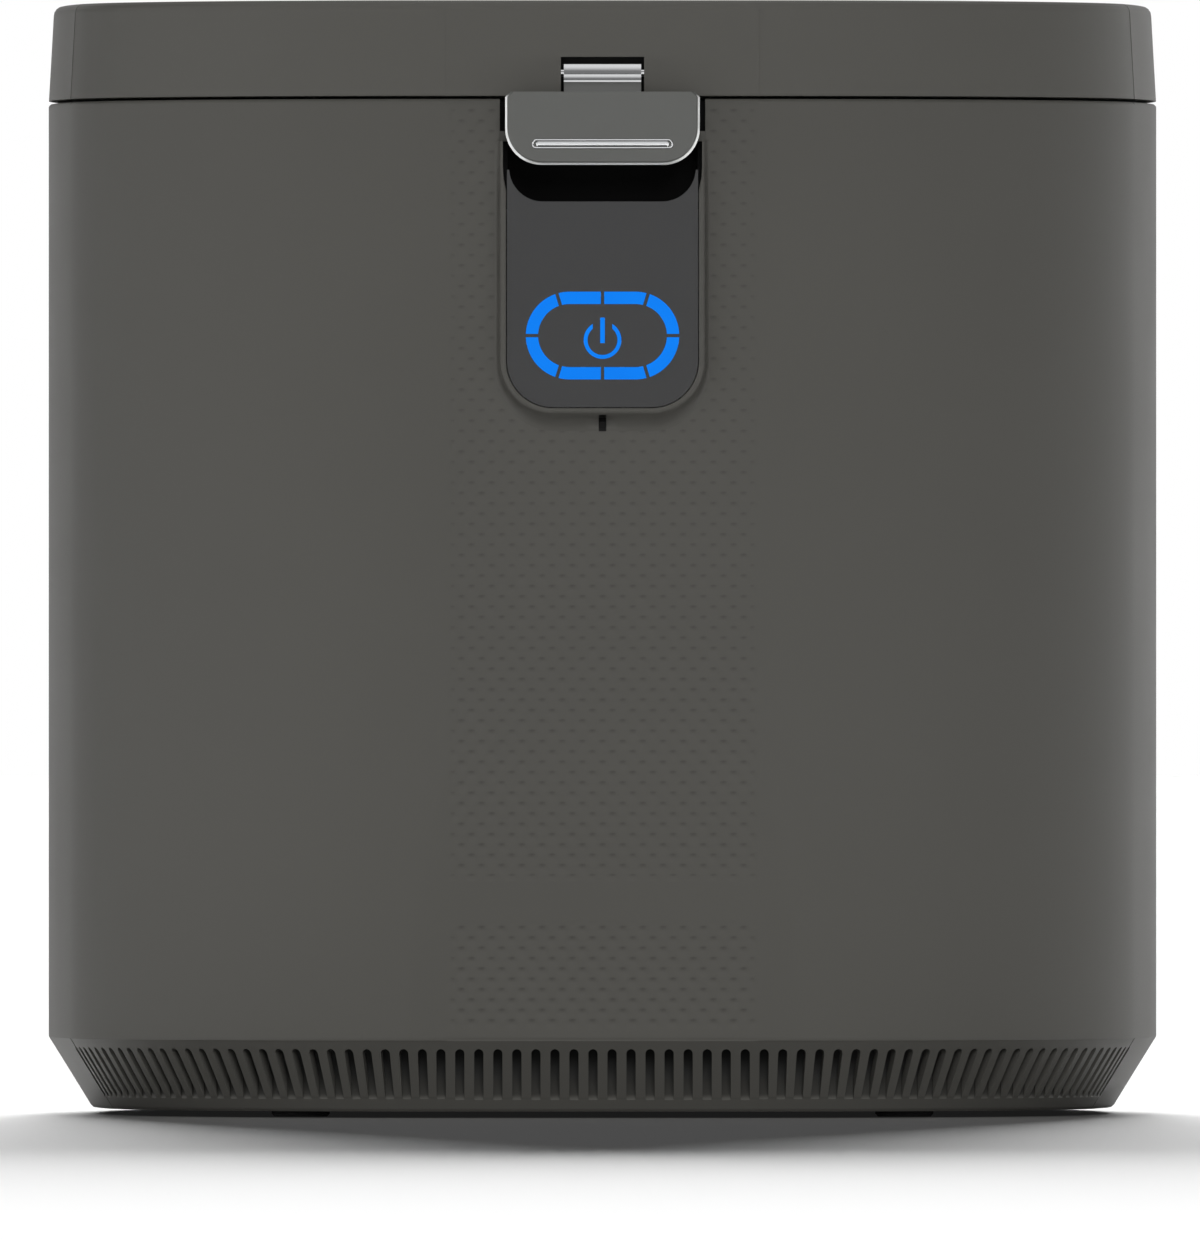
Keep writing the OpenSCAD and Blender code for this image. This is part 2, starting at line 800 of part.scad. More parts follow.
module fan_impeller() {
    hub_r = 8.5;
    color(NYLON)
        difference() {
            union() {
                rod_y(0, fan_front + 1.5, fan_back - 3, filter_z, hub_r);
                intersection() {
                    rod_y(0, fan_front + 2, fan_back - 3.5, filter_z, fan_r);
                    translate([0, (fan_front + fan_back) / 2 - 0.7, filter_z])
                        for (k = [0 : fan_blades - 1])
                            rotate([0, 360 * k / fan_blades, 0])
                                translate([hub_r - 2, 0, 0])
                                    rotate([38, 0, 0])
                                        translate([0, -0.8, -6])
                                            cube([fan_r, 1.6, 12]);
                }
            }
            rod_y(0, fan_front + 2.8, fan_back - 2, filter_z, axle_r + run_fit);
        }
}
sleeve_wall = 2;
sleeve_back = rear_y - wall - 1;
door_in = rear_y - wall + 0.2;
case_front = door_in - filter_d;
module filter_sleeve() {
    sx = filter_half_w + slide_fit;
    sz = filter_half_h + slide_fit;
    color(DARK)
        difference() {
            box(-sx - sleeve_wall, sx + sleeve_wall, fan_back, sleeve_back,
                filter_z - sz - sleeve_wall, filter_z + sz + sleeve_wall);
            box(-sx, sx, fan_back + sleeve_wall, sleeve_back + 1, filter_z - sz, filter_z + sz);
            rod_y(0, fan_back - 1, fan_back + sleeve_wall + 1, filter_z, fan_r + 1);
        }
}
module filter_case() {
    color(DARK)
        difference() {
            box(-filter_half_w, filter_half_w, case_front, door_in,
                filter_z - filter_half_h, filter_z + filter_half_h);
            box(-filter_half_w + 2, filter_half_w - 2, case_front + 2, door_in + 1,
                filter_z - filter_half_h + 2, filter_z + filter_half_h - 2);
            for (k = [-4 : 4])
                box(8 * k - 2.5, 8 * k + 2.5, case_front - 1, case_front + 3,
                    filter_z - filter_half_h + 8, filter_z + filter_half_h - 8);
        }
}
module filter_charge() {
    color(CHARCOAL)
        box(-filter_half_w + 2.2, filter_half_w - 2.2, case_front + 2, door_in - 8,
            filter_z - filter_half_h + 2.2, filter_z + filter_half_h - 2.2);
}
module filter_door() {
    dx = filter_half_w + door_over;
    dz = filter_half_h + door_over;
    grille_z = filter_half_h - 9;
    color(BODY)
        difference() {
            union() {
                box(-dx, dx, door_in, rear_y, filter_z - dz, filter_z + dz);
                box(-14, 14, rear_y - eps, rear_y + 4, filter_z + dz - 5, filter_z + dz - 2);
            }
            for (k = [-7 : 7])
                box(5.2 * k - 1.3, 5.2 * k + 1.3, door_in - 1, rear_y + 1,
                    filter_z - grille_z, filter_z + grille_z - 4);
        }
}
module filter_seal() {
    sx = filter_half_w + 0.3;
    sz = filter_half_h + 0.3;
    color(RUBBER)
        difference() {
            box(-sx - 2, sx + 2, door_in - 1, door_in, filter_z - sz - 2, filter_z + sz + 2);
            box(-sx, sx, door_in - 2, door_in + 1, filter_z - sz, filter_z + sz);
        }
}

// Mains inlet: an appliance socket with three pins. No lead is part of the machine.
module inlet_body() {
    color(DARK)
        difference() {
            union() {
                box(inlet_x - inlet_w / 2, inlet_x + inlet_w / 2, rear_y - 22, rear_y + eps,
                    inlet_z - inlet_h / 2, inlet_z + inlet_h / 2);
                box(inlet_x - inlet_w / 2 - 3, inlet_x + inlet_w / 2 + 3, rear_y, rear_y + 2,
                    inlet_z - inlet_h / 2 - 3, inlet_z + inlet_h / 2 + 3);
            }
            box(inlet_x - inlet_w / 2 + 2, inlet_x + inlet_w / 2 - 2, rear_y - 16, rear_y + 3,
                inlet_z - inlet_h / 2 + 2.5, inlet_z + inlet_h / 2 - 2.5);
        }
}
module inlet_pins() {
    color(BRASS)
        for (p = [[-7, -2], [0, 2], [7, -2]])
            box(inlet_x + p[0] - 1, inlet_x + p[0] + 1, rear_y - 16, rear_y - 3,
                inlet_z + p[1] - 2, inlet_z + p[1] + 2);
}

// Rear hinge. Five knuckles share one pin: three on the body and two on the lid.
axis_y = rear_y + hinge_back;
axis_z = body_h + 0.5;
knuckle_gap = 0.4;
function knuckle_x(k) = (k - 2.5) * knuckle_len;
module knuckle(k, gap, bore) {
    difference() {
        union() {
            rod_x(knuckle_x(k) + gap, knuckle_x(k + 1) - gap, axis_y, axis_z, hinge_r);
            translate([knuckle_x(k) + gap, 0, 0])
                rotate([90, 0, 90])
                    linear_extrude(knuckle_len - 2 * gap)
                        children();
        }
        rod_x(knuckle_x(k) - 1, knuckle_x(k + 1) + 1, axis_y, axis_z, bore);
    }
}
module hinge_bracket() {
    color(BODY)
        for (k = [0, 2, 4])
            knuckle(k, 0, hinge_pin_r)
                polygon([
                    [rear_y, axis_z - 18], [rear_y + 2, axis_z - 18], [axis_y + hinge_r - 0.6, axis_z - 3],
                    [axis_y + hinge_r - 0.6, axis_z], [axis_y - hinge_r + 0.4, axis_z],
                    [axis_y - hinge_r + 0.4, axis_z - 1], [rear_y, axis_z - 1]
                ]);
}
module hinge_pin() {
    color(CHROME)
        rod_x(knuckle_x(0), knuckle_x(5), axis_y, axis_z, hinge_pin_r);
}
leaf_top = lid_low + 14;
function lid_face(z) = rear_y - lid_lean * (z - lid_low) / lid_h;
module lid_hinge_leaf() {
    color(LID)
        for (k = [1, 3])
            knuckle(k, knuckle_gap, hinge_pin_r + run_fit)
                polygon([
                    [lid_face(lid_low + 0.4), lid_low + 0.4], [lid_face(leaf_top), leaf_top],
                    [rear_y + 1.2, leaf_top], [axis_y + hinge_r - 0.6, axis_z + 3],
                    [axis_y + hinge_r - 0.6, axis_z], [axis_y - hinge_r + 0.4, axis_z],
                    [axis_y - hinge_r + 0.4, lid_low + 0.4]
                ]);
}

// Lid: tapered shell with a soft upper edge and a flange that closes down to the body's rim.
top_t = 2.5;
flange_in = 8;
flange_low = body_h + fit;
flange_top = flange_low + 2.2;
barrel_z = lid_low + notch_h - 1.6 - barrel_r;
barrel_y = front_y + 2;
notch_back = barrel_y + barrel_r + 1.3;
latch_block = 6;
module lid_profile() {
    shoulder = lid_top - lid_round;
    polygon(concat(
        [[-flange_in, flange_low], [-lid_chamfer, flange_low], [0, lid_low]],
        arc_pts(-lid_lean - lid_round, shoulder, lid_round, 0, 90, 4),
        [
            [-lid_lean - wall - 5, lid_top], [-lid_lean - wall - 5, lid_top - top_t],
            [-lid_lean - wall, lid_top - top_t], [-wall - 0.3, flange_top], [-flange_in, flange_top]
        ]
    ));
}
module lid_shell() {
    half = notch_w / 2;
    color(LID)
        difference() {
            union() {
                around()
                    lid_profile();
                plan_plate(lid_lean + wall + 2, lid_top - top_t, top_t);
                box(-half - latch_block, half + latch_block, front_y + lid_lean + 1, notch_back + 3,
                    flange_top - eps, lid_top - top_t + eps);
            }
            box(-half, half, front_y - 1, notch_back, flange_low - 1, lid_low + notch_h);
            rod_x(-half - latch_block + 1, half + latch_block - 1, barrel_y, barrel_z, latch_pin_r + 0.02);
        }
}
lid_plate_t = 2;
module lid_liner() {
    half = notch_w / 2 + latch_block + fit;
    color(DARK)
        difference() {
            union() {
                plan_plate(wall + 1.2, flange_top, lid_plate_t);
                tube_z(0, bucket_y, flange_top + lid_plate_t - eps, lid_top - top_t, 60, 58);
            }
            box(-half, half, front_y, notch_back + 3 + fit, flange_top - 1, flange_top + lid_plate_t + 1);
            rod_z(0, bucket_y, flange_top - 1, flange_top + 0.8, 58);
        }
}
module lid_gasket() {
    color(RUBBER)
        tube_z(0, bucket_y, deck_top + 0.2, flange_top, collar_r + 3.6, collar_r + 1);
}
module latch_pin() {
    half = notch_w / 2 + latch_block - 1;
    color(CHROME)
        rod_x(-half, half, barrel_y, barrel_z, latch_pin_r);
}

// Latch lever: plate, neck and hook in one piece, hung on the barrel.
lever_back = pod_front - 0.7;
lever_front = lever_back - lever_t;
lever_edge = 0.9;
hook_top = keeper_low - 0.5;
hook_t = 2.2;
inlay_z = lever_low + 5.6;
inlay_w = 38;
inlay_h = 2.7;
module lever_outline(in) {
    difference() {
        tongue(lever_w / 2 - in, lever_low + in, lever_top, lever_r - in / 2, $fn = 48);
        for (side = [-1, 1])
            translate([side * (lever_w / 2 - in), lever_top])
                rotate([0, 0, 45])
                    square(2, center = true);
    }
}
module latch_lever() {
    color(LEVER)
        difference() {
            union() {
                hull() {
                    front_plate(lever_front + lever_edge, lever_back)
                        lever_outline(0);
                    front_plate(lever_front, lever_front + lever_edge)
                        lever_outline(lever_edge);
                }
                translate([-barrel_len / 2, 0, 0])
                    rotate([90, 0, 90])
                        linear_extrude(barrel_len)
                            polygon([
                                [lever_front + 0.3, lever_top - 0.8], [lever_front + 1.4, lever_top],
                                [barrel_y - 2.6, barrel_z - 2.7], [barrel_y, barrel_z - 1.2],
                                [barrel_y + 1.6, barrel_z - 2.6], [barrel_y - 1.4, lever_top],
                                [lever_back, lever_top - 2.6]
                            ]);
                box(-8, 8, lever_back - eps, keeper_front - 0.4, hook_top - hook_t, hook_top);
            }
            rod_x(-barrel_len, barrel_len, barrel_y, barrel_z, barrel_r + 0.02);
            front_plate(lever_front - 1, lever_front + 0.8)
                translate([0, inlay_z])
                    stadium(inlay_w, inlay_h);
        }
}
module latch_barrel() {
    half = barrel_len / 2;
    color(CHROME)
        difference() {
            rod_x(-half, half, barrel_y, barrel_z, barrel_r);
            rod_x(-half - 1, half + 1, barrel_y, barrel_z, latch_pin_r + run_fit);
        }
}
module latch_inlay() {
    color(CHROME)
        front_plate(lever_front + 0.25, lever_front + 0.8)
            translate([0, inlay_z])
                stadium(inlay_w - 0.2, inlay_h - 0.2);
}

// Bucket, with its ears, its shaft bush and its folding bail.
bucket_floor = 2.5;
bush_r = 8.3;
agitator_r = 6;
rim_h = 2.8;
pivot_z = bucket_top - 9;
bail_in = bucket_r + rim_out + 0.8;
bail_t = 3;
bail_h = 5;
ear_pin_r = 2.5;
function bucket_wall_r(z) = bucket_r - bucket_taper * (bucket_top - z) / bucket_h;
// The bucket's outer face as a solid form, for what is fitted round it.
module pail_outside(grow) {
    translate([0, bucket_y, 0])
        rotate_extrude()
            polygon([
                [0, bucket_low], [bucket_wall_r(bucket_low + 4) + grow, bucket_low + 4],
                [bucket_r + grow, bucket_top - rim_h], [bucket_r + rim_out + grow, bucket_top - rim_h - grow],
                [bucket_r + rim_out + grow, bucket_top + 1], [0, bucket_top + 1]
            ]);
}
module bucket_pail() {
    foot_r2 = bucket_r - bucket_taper;
    color(CERAMIC)
        translate([0, bucket_y, 0])
            rotate_extrude()
                polygon([
                    [bush_r, bucket_low], [foot_r2 - 4, bucket_low], [bucket_wall_r(bucket_low + 4), bucket_low + 4],
                    [bucket_r, bucket_top - rim_h], [bucket_r + rim_out, bucket_top - rim_h],
                    [bucket_r + rim_out, bucket_top], [bucket_r - bucket_wall, bucket_top],
                    [bucket_wall_r(bucket_low + 6) - bucket_wall, bucket_low + 6],
                    [foot_r2 - 5.5, bucket_low + bucket_floor], [bush_r, bucket_low + bucket_floor]
                ]);
}
module ear(side) {
    color(STEEL)
        mirror([side < 0 ? 1 : 0, 0, 0])
            difference() {
                union() {
                    rod_x(bucket_r - 3, bail_in - 0.4, bucket_y, pivot_z, 6.2);
                    rod_x(bail_in - 1, bail_in + bail_t + 1.2, bucket_y, pivot_z, ear_pin_r);
                }
                pail_outside(0.02);
            }
}
module bucket_ear_left() {
    ear(-1);
}
module bucket_ear_right() {
    ear(1);
}
module bucket_bush() {
    color(BRASS)
        difference() {
            union() {
                rod_z(0, bucket_y, bucket_low, bucket_low + bucket_floor + eps, bush_r);
                rod_z(0, bucket_y, bucket_low + bucket_floor, bucket_low + bucket_floor + 2, 12);
            }
            rod_z(0, bucket_y, bucket_low - 1, bucket_low + bucket_floor + 3, agitator_r + run_fit);
        }
}
module front_half_ring(r_in, w, h, spread) {
    translate([0, bucket_y, pivot_z])
        rotate([0, 0, -90 - spread])
            rotate_extrude(angle = 2 * spread)
                translate([r_in, -h / 2])
                    square([w, h]);
}
module bail_arm() {
    color(STEEL)
        difference() {
            union() {
                front_half_ring(bail_in, bail_t, bail_h, 90);
                for (side = [0, 1])
                    mirror([side, 0, 0])
                        rod_x(bail_in, bail_in + bail_t, bucket_y, pivot_z, 6);
            }
            for (side = [0, 1])
                mirror([side, 0, 0])
                    rod_x(bail_in - 1, bail_in + bail_t + 1, bucket_y, pivot_z, ear_pin_r + run_fit);
        }
}
module bail_grip() {
    color(DARK)
        difference() {
            front_half_ring(bail_in - 0.2, bail_t + 2.5, bail_h + 3, 24);
            front_half_ring(bail_in, bail_t, bail_h, 26);
        }
}

// Agitator: shaft and drive cup, with a hub and swept arms that end in upright paddles.
cup_low = floor_low - 2.5;
cup_top = bucket_low - 0.5;
hub_low = bucket_low + bucket_floor + 2.5;
hub_h = 24;
hub_r = 14;
arm_tip = bucket_r - bucket_taper - bucket_wall - 6;
paddle_h = 46;
module agitator_shaft() {
    color(CHROME)
        difference() {
            union() {
                rod_z(0, bucket_y, cup_low, cup_top, dog_hole_r - 1.5);
                rod_z(0, bucket_y, cup_top - eps, hub_low + hub_h + 6, agitator_r);
            }
            translate([-stub / 2 - fit, bucket_y - stub / 2 - fit, cup_low - 1])
                cube([stub + 2 * fit, stub + 2 * fit, 6.8]);
        }
}
module agitator_arms() {
    bow = 9;
    thick = 5;
    steps = 6;
    reach = arm_tip - hub_r + 4;
    edge = [for (i = [0 : steps]) [hub_r - 4 + reach * i / steps, bow * sin(180 * i / steps)]];
    color(CERAMIC)
        translate([0, bucket_y, 0])
            difference() {
                union() {
                    rod_z(0, 0, hub_low, hub_low + hub_h, hub_r);
                    for (k = [0 : arms - 1])
                        rotate([0, 0, 360 * k / arms]) {
                            translate([0, 0, hub_low])
                                linear_extrude(9)
                                    polygon(concat(
                                        [for (p = edge) [p[0], p[1] + thick]],
                                        [for (i = [steps : -1 : 0]) [edge[i][0], edge[i][1] - thick]]
                                    ));
                            box(arm_tip - 12, arm_tip - 1, -2.5, 2.5, hub_low, hub_low + paddle_h);
                        }
                }
                rod_z(0, 0, hub_low - 1, hub_low + hub_h + 1, agitator_r + 0.02);
            }
}

housing_shell();
base_pan();
vent_liner();
foot_front_left();
foot_front_right();
foot_rear_left();
foot_rear_right();
control_pod();
control_panel();
indicator_ring();
power_mark();
latch_cup();
latch_keeper();
top_deck();
bucket_well();
heater_plate();
gear_frame_lower();
gear_frame_upper();
drive_motor();
output_bearing();
control_board();
power_board();
fan_frame();
exhaust_duct();
filter_sleeve();
inlet_body();
inlet_pins();
hinge_bracket();
hinge_pin();
lid_shell();
lid_liner();
lid_gasket();
lid_hinge_leaf();
latch_pin();
latch_lever();
latch_barrel();
latch_inlay();
bucket_pail();
bucket_ear_left();
bucket_ear_right();
bucket_bush();
bail_arm();
bail_grip();
agitator_shaft();
agitator_arms();
drive_gear();
drive_shaft();
motor_pinion();
fan_impeller();
filter_case();
filter_charge();
filter_door();
filter_seal();
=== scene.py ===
# %% [markdown]
# # Dressing a kitchen food waste composter
#
# The model comes in from CAD with its real sizes and its joints. This lesson gives it a camera, a
# studio, finishes that are built from nodes, and the small pieces that a CAD part leaves out.

# %% Load the packed model
import bpy
import bmesh
import math
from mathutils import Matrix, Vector


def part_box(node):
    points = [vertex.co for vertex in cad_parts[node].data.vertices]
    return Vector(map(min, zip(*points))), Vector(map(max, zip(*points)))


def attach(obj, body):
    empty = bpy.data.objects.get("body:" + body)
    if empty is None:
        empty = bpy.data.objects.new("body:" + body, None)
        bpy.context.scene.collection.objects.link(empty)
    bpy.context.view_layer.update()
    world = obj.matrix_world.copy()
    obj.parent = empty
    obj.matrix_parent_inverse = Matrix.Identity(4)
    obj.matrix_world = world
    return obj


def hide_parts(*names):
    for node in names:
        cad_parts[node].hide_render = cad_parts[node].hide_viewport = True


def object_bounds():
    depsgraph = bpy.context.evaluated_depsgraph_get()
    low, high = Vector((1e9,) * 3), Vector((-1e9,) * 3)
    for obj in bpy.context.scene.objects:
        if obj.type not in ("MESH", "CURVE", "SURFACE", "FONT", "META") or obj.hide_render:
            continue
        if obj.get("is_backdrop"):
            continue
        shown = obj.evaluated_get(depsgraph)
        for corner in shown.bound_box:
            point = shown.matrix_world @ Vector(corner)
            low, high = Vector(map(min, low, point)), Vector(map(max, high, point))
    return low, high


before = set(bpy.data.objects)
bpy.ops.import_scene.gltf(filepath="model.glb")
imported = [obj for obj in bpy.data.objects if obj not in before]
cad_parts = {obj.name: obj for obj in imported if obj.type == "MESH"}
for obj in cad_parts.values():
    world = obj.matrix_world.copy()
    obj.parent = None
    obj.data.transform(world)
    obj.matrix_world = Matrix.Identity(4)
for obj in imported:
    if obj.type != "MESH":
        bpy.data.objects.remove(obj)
cad_low, cad_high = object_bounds()
mm = 0.001
print("CAD box in mm:", [round(v / mm, 1) for v in cad_low], [round(v / mm, 1) for v in cad_high])

# %% [markdown]
# ## The camera
#
# The photograph looks straight at the front, and the rear of the machine looks as large as the
# front, so it was taken with a very long lens from far away. A 1500 mm lens gives the same flat
# look, and unlike an orthographic camera it keeps the floor's slight tilt. The body is 300 mm wide
# and 1116.5 pixels wide in the picture, and that ratio sets the distance. It is measured to a plane
# between the front face and the widest part of the sides.

# %% Camera
photo_w, photo_h = 1200, 1240
body_wide, body_pixels = 300, 1116.5
mm_per_pixel = body_wide / body_pixels
middle_column, floor_row = 602.5, 1116.5
lens, sensor = 1500, 36
# the plane at which that scale holds, and how far the camera sees, in metres
scale_plane, far_limit = -0.12, 80

camera_data = bpy.data.cameras.new("camera")
camera_data.lens = lens
camera_data.sensor_width = sensor
camera_data.clip_end = far_limit
camera = bpy.data.objects.new("camera", camera_data)
bpy.context.scene.collection.objects.link(camera)
bpy.context.scene.camera = camera
view_h = photo_h * mm_per_pixel * mm
distance = view_h * lens / sensor
camera.location = (
    (photo_w / 2 - middle_column) * mm_per_pixel * mm,
    scale_plane - distance,
    (floor_row - photo_h / 2) * mm_per_pixel * mm,
)
camera.rotation_euler = (math.radians(90), 0, 0)
print("camera at", [round(v, 3) for v in camera.location], "sees", round(view_h / mm, 1), "mm")

# %% [markdown]
# ## Writing shader maths as sums
#
# A material is a tree of nodes joined by links. Long trees are hard to read, so a small class wraps
# one output socket. Adding or multiplying two of them makes the Math node and its links, and the
# method `node` makes any other node from its type, its settings and its inputs. The same trees
# could be joined by hand in the shader editor, but then nobody could read or repeat them.

# %% A socket that can be calculated with
class Wire:
    def __init__(self, tree, socket):
        self.tree, self.socket = tree, socket

    def node(self, kind, settings=None, inputs=None, out=0):
        made = self.tree.nodes.new(kind)
        for key, value in (settings or {}).items():
            if key == "stops":
                ramp = made.color_ramp
                for i, (place, shade) in enumerate(value):
                    stop = ramp.elements[i] if i < 2 else ramp.elements.new(place)
                    stop.position, stop.color = place, (*shade, 1)
            else:
                setattr(made, key, value)
        for key, value in (inputs or {}).items():
            if isinstance(value, Wire):
                self.tree.links.new(value.socket, made.inputs[key])
            else:
                made.inputs[key].default_value = value
        return Wire(self.tree, made.outputs[out])

    def sum(self, operation, a, b=0.0):
        return self.node("ShaderNodeMath", {"operation": operation}, {0: a, 1: b})

    def __add__(self, other):
        return self.sum("ADD", self, other)

    __radd__ = __add__

    def __sub__(self, other):
        return self.sum("SUBTRACT", self, other)

    def __rsub__(self, other):
        return self.sum("SUBTRACT", other, self)

    def __mul__(self, other):
        return self.sum("MULTIPLY", self, other)

    __rmul__ = __mul__

    def size(self):
        return self.sum("ABSOLUTE", self)

    def most(self, other):
        return self.sum("MAXIMUM", self, other)

    def least(self, other):
        return self.sum("MINIMUM", self, other)

    def root(self):
        return self.sum("SQRT", self)

    def off_middle(self, period):
        # how far a place is from the nearest multiple of the period
        return self.sum("PINGPONG", self, period / 2)

    def rise(self, low, high):
        # 0 below low, 1 above high, and smooth between; falls where low is above high
        return self.node("ShaderNodeMapRange", {"interpolation_type": "SMOOTHSTEP"},
                         {0: self, 1: low, 2: high})

    def tint(self, off, on):
        # a colour between two colours, by this value
        return self.node("ShaderNodeMix", {"data_type": "RGBA"},
                         {0: self, 6: off if isinstance(off, Wire) else (*off, 1),
                          7: on if isinstance(on, Wire) else (*on, 1)}, out=2)

    def parts(self):
        # the x, y and z of a vector
        split = self.node("ShaderNodeSeparateXYZ", None, {0: self})
        return [Wire(self.tree, s) for s in split.socket.node.outputs]

    def stretched(self, x, y, z):
        return self.node("ShaderNodeVectorMath", {"operation": "MULTIPLY"}, {0: self, 1: (x, y, z)})

    def noise(self, grain, detail=2.0, rough=0.5):
        # cloudy grey whose lumps are about grain metres across
        return self.node("ShaderNodeTexNoise", None,
                         {"Vector": self, "Scale": 1 / grain, "Detail": detail, "Roughness": rough})

    def bump(self, height):
        # a normal from heights in metres
        return self.node("ShaderNodeBump", None, {"Height": height, "Strength": 1.0, "Distance": 1.0})


print("a wire can:", [name for name in vars(Wire) if not name.startswith("_")])

# %% [markdown]
# ## An empty finish
#
# Every finish below starts from the same three nodes: the place on the object, the shader and the
# output. The place is in metres and moves with the piece, so a pattern keeps its real size and
# stays put when a joint moves. A UV map would do that too, but each piece would need one.

# %% An empty finish
def new_finish(name):
    # an empty material, the place on the object as a Wire, and its shader node
    material = bpy.data.materials.new(name)
    material.use_nodes = True
    tree = material.node_tree
    tree.nodes.clear()
    output = tree.nodes.new("ShaderNodeOutputMaterial")
    shader = tree.nodes.new("ShaderNodeBsdfPrincipled")
    tree.links.new(shader.outputs[0], output.inputs[0])
    where = tree.nodes.new("ShaderNodeTexCoord")
    return material, Wire(tree, where.outputs["Object"]), shader


def set_shader(shader, **values):
    for key, value in values.items():
        socket = shader.inputs[key.replace("_", " ")]
        if isinstance(value, Wire):
            value.tree.links.new(value.socket, socket)
        elif isinstance(value, tuple):
            socket.default_value = (*value, 1)
        else:
            socket.default_value = value


print("empty finish ready")

# %% [markdown]
# ## The studio
#
# The machine stands on a white floor that runs to the horizon, in a white room. The camera, metal
# and glass all see that white. A photographer would stand two black cards beside the machine, so
# that its round corners show a bright edge, a darker stripe and a bright stripe again. A colour ramp
# that runs round the horizon holds those cards, with one gap higher up for the polished parts. Real
# cards would do too, but they would show in views from behind.

# %% World
bpy.context.scene.view_settings.view_transform = "Standard"
world = bpy.data.worlds.new("studio")
bpy.context.scene.world = world
world.use_nodes = True
air = world.node_tree
rays = air.nodes.new("ShaderNodeLightPath")
seen = Wire(air, rays.outputs["Is Camera Ray"]).most(Wire(air, rays.outputs["Is Transmission Ray"]))
mirrored = Wire(air, rays.outputs["Is Glossy Ray"])
to_right, to_back, up = Wire(air, air.nodes.new("ShaderNodeTexCoord").outputs["Generated"]).parts()
# 0.5 is in front of the machine, 0.25 at its left, 0.75 at its right, 0 and 1 behind it
turn = to_right.sum("ARCTAN2", to_right, to_back * -1.0) * (0.5 / math.pi) + 0.5
cards = ((0.03, 1.0), (0.09, 0.05), (0.14, 0.15), (0.18, 0.75), (0.21, 1.0), (0.31, 1.0), (0.40, 0.75),
         (0.50, 0.80), (0.60, 1.0), (0.66, 0.55), (0.71, 0.05), (0.78, 0.05), (0.81, 0.3), (0.84, 0.7),
         (0.88, 1.0))
room = turn.node("ShaderNodeValToRGB", {"stops": [(at, (v, v, v)) for at, v in cards]}, {0: turn})
gap = up.rise(0.30, 0.45) * up.rise(0.85, 0.65)
gap_depth, fill_level = 0.75, 0.07
shine = room * (1 - gap * gap_depth)
sky = air.nodes["Background"]
air.links.new((mirrored * shine).most(fill_level).most(seen).socket, sky.inputs["Strength"])
sky.inputs["Color"].default_value = (1, 1, 1, 1)
print("room with", len(cards), "card edges")

# %% [markdown]
# ## The floor
#
# A sheet of white board reaches far past the machine, so that no edge of it comes into view. It is
# matt, because a glossy floor would mirror the skirt. It lies a tenth of a millimetre under the
# feet, so that the two never share a plane.

# %% Floor
floor_mesh = bpy.data.meshes.new("floor")
reach, floor_drop, floor_glow = 30, 0.1 * mm, 0.01
corners = [(-reach, -reach, 0), (reach, -reach, 0), (reach, reach, 0), (-reach, reach, 0)]
floor_mesh.from_pydata(corners, [], [(0, 1, 2, 3)])
floor = bpy.data.objects.new("floor", floor_mesh)
bpy.context.scene.collection.objects.link(floor)
floor.location.z = cad_low.z - floor_drop
floor_finish, place, shader = new_finish("floor")
eye = Wire(place.tree, place.tree.nodes.new("ShaderNodeLightPath").outputs["Is Camera Ray"])
set_shader(shader, Base_Color=(0.86, 0.86, 0.86), Roughness=0.9, Specular_IOR_Level=0.0,
           Emission_Color=(1, 1, 1), Emission_Strength=eye * floor_glow)
floor_mesh.materials.append(floor_finish)
floor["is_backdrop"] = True
print("floor", 2 * reach, "m wide")

# %% [markdown]
# ## Lamps
#
# One low, soft sun from behind whitens the floor and lays the long shadow in front. It is linked to
# the floor alone. The other lamps light only the machine, and give only even light, because the
# room above already gives the reflections. One set of lamps for both would have to choose between
# a white floor and a body that isn't washed out.

# %% Lamps
def lamp(name, direction, strength, soft, lights_floor=False):
    # direction points from the machine to the lamp; soft is how wide the lamp looks, in degrees
    data = bpy.data.lights.new(name, "SUN")
    data.energy, data.angle = strength, math.radians(soft)
    made = bpy.data.objects.new(name, data)
    bpy.context.scene.collection.objects.link(made)
    made.rotation_euler = Vector(direction).to_track_quat("Z", "Y").to_euler()
    made.visible_glossy = False
    made.light_linking.receiver_collection = only_floor if lights_floor else all_but_floor


only_floor, all_but_floor = (bpy.data.collections.new(name) for name in ("only_floor", "all_but_floor"))
for group, state in ((only_floor, "INCLUDE"), (all_but_floor, "EXCLUDE")):
    group.objects.link(floor)
    group.collection_objects[0].light_linking.link_state = state
lamp("lamp_floor", (0, 1, 0.19), 19.6, 19, lights_floor=True)
lamp("lamp_front", (0.12, -1, 0.5), 2.5, 30)
lamp("lamp_left", (-1, -0.35, 0.4), 0.9, 50)
lamp("lamp_right", (1, 0.8, 0.4), 0.8, 50)
lamp("lamp_top", (0.1, 0.3, 1), 1.2, 50)

# a low strip stands in front and lights the skirt, as a white board there would
strip_power, strip_wide, strip_high, strip_tilt = 0.75, 0.9, 0.05, 92
low = bpy.data.lights.new("lamp_low", "AREA")
low.energy, low.shape, low.size, low.size_y = strip_power, "RECTANGLE", strip_wide, strip_high
strip = bpy.data.objects.new("lamp_low", low)
bpy.context.scene.collection.objects.link(strip)
strip.location, strip.rotation_euler = (0, -0.40, 0.01), (math.radians(strip_tilt), 0, 0)
strip.visible_camera = strip.visible_glossy = False
strip.light_linking.receiver_collection = all_but_floor

# %% [markdown]
# ## Moulded plastic
#
# The body and lid are one warm grey plastic with a very fine spark texture, as a mould maker eats it
# into steel. Three things make it look moulded: a grain of a third of a millimetre that catches
# light, a slow drift of tone over centimetres, and a gloss that isn't the same everywhere. One flat
# grey would look like paint on a computer model.

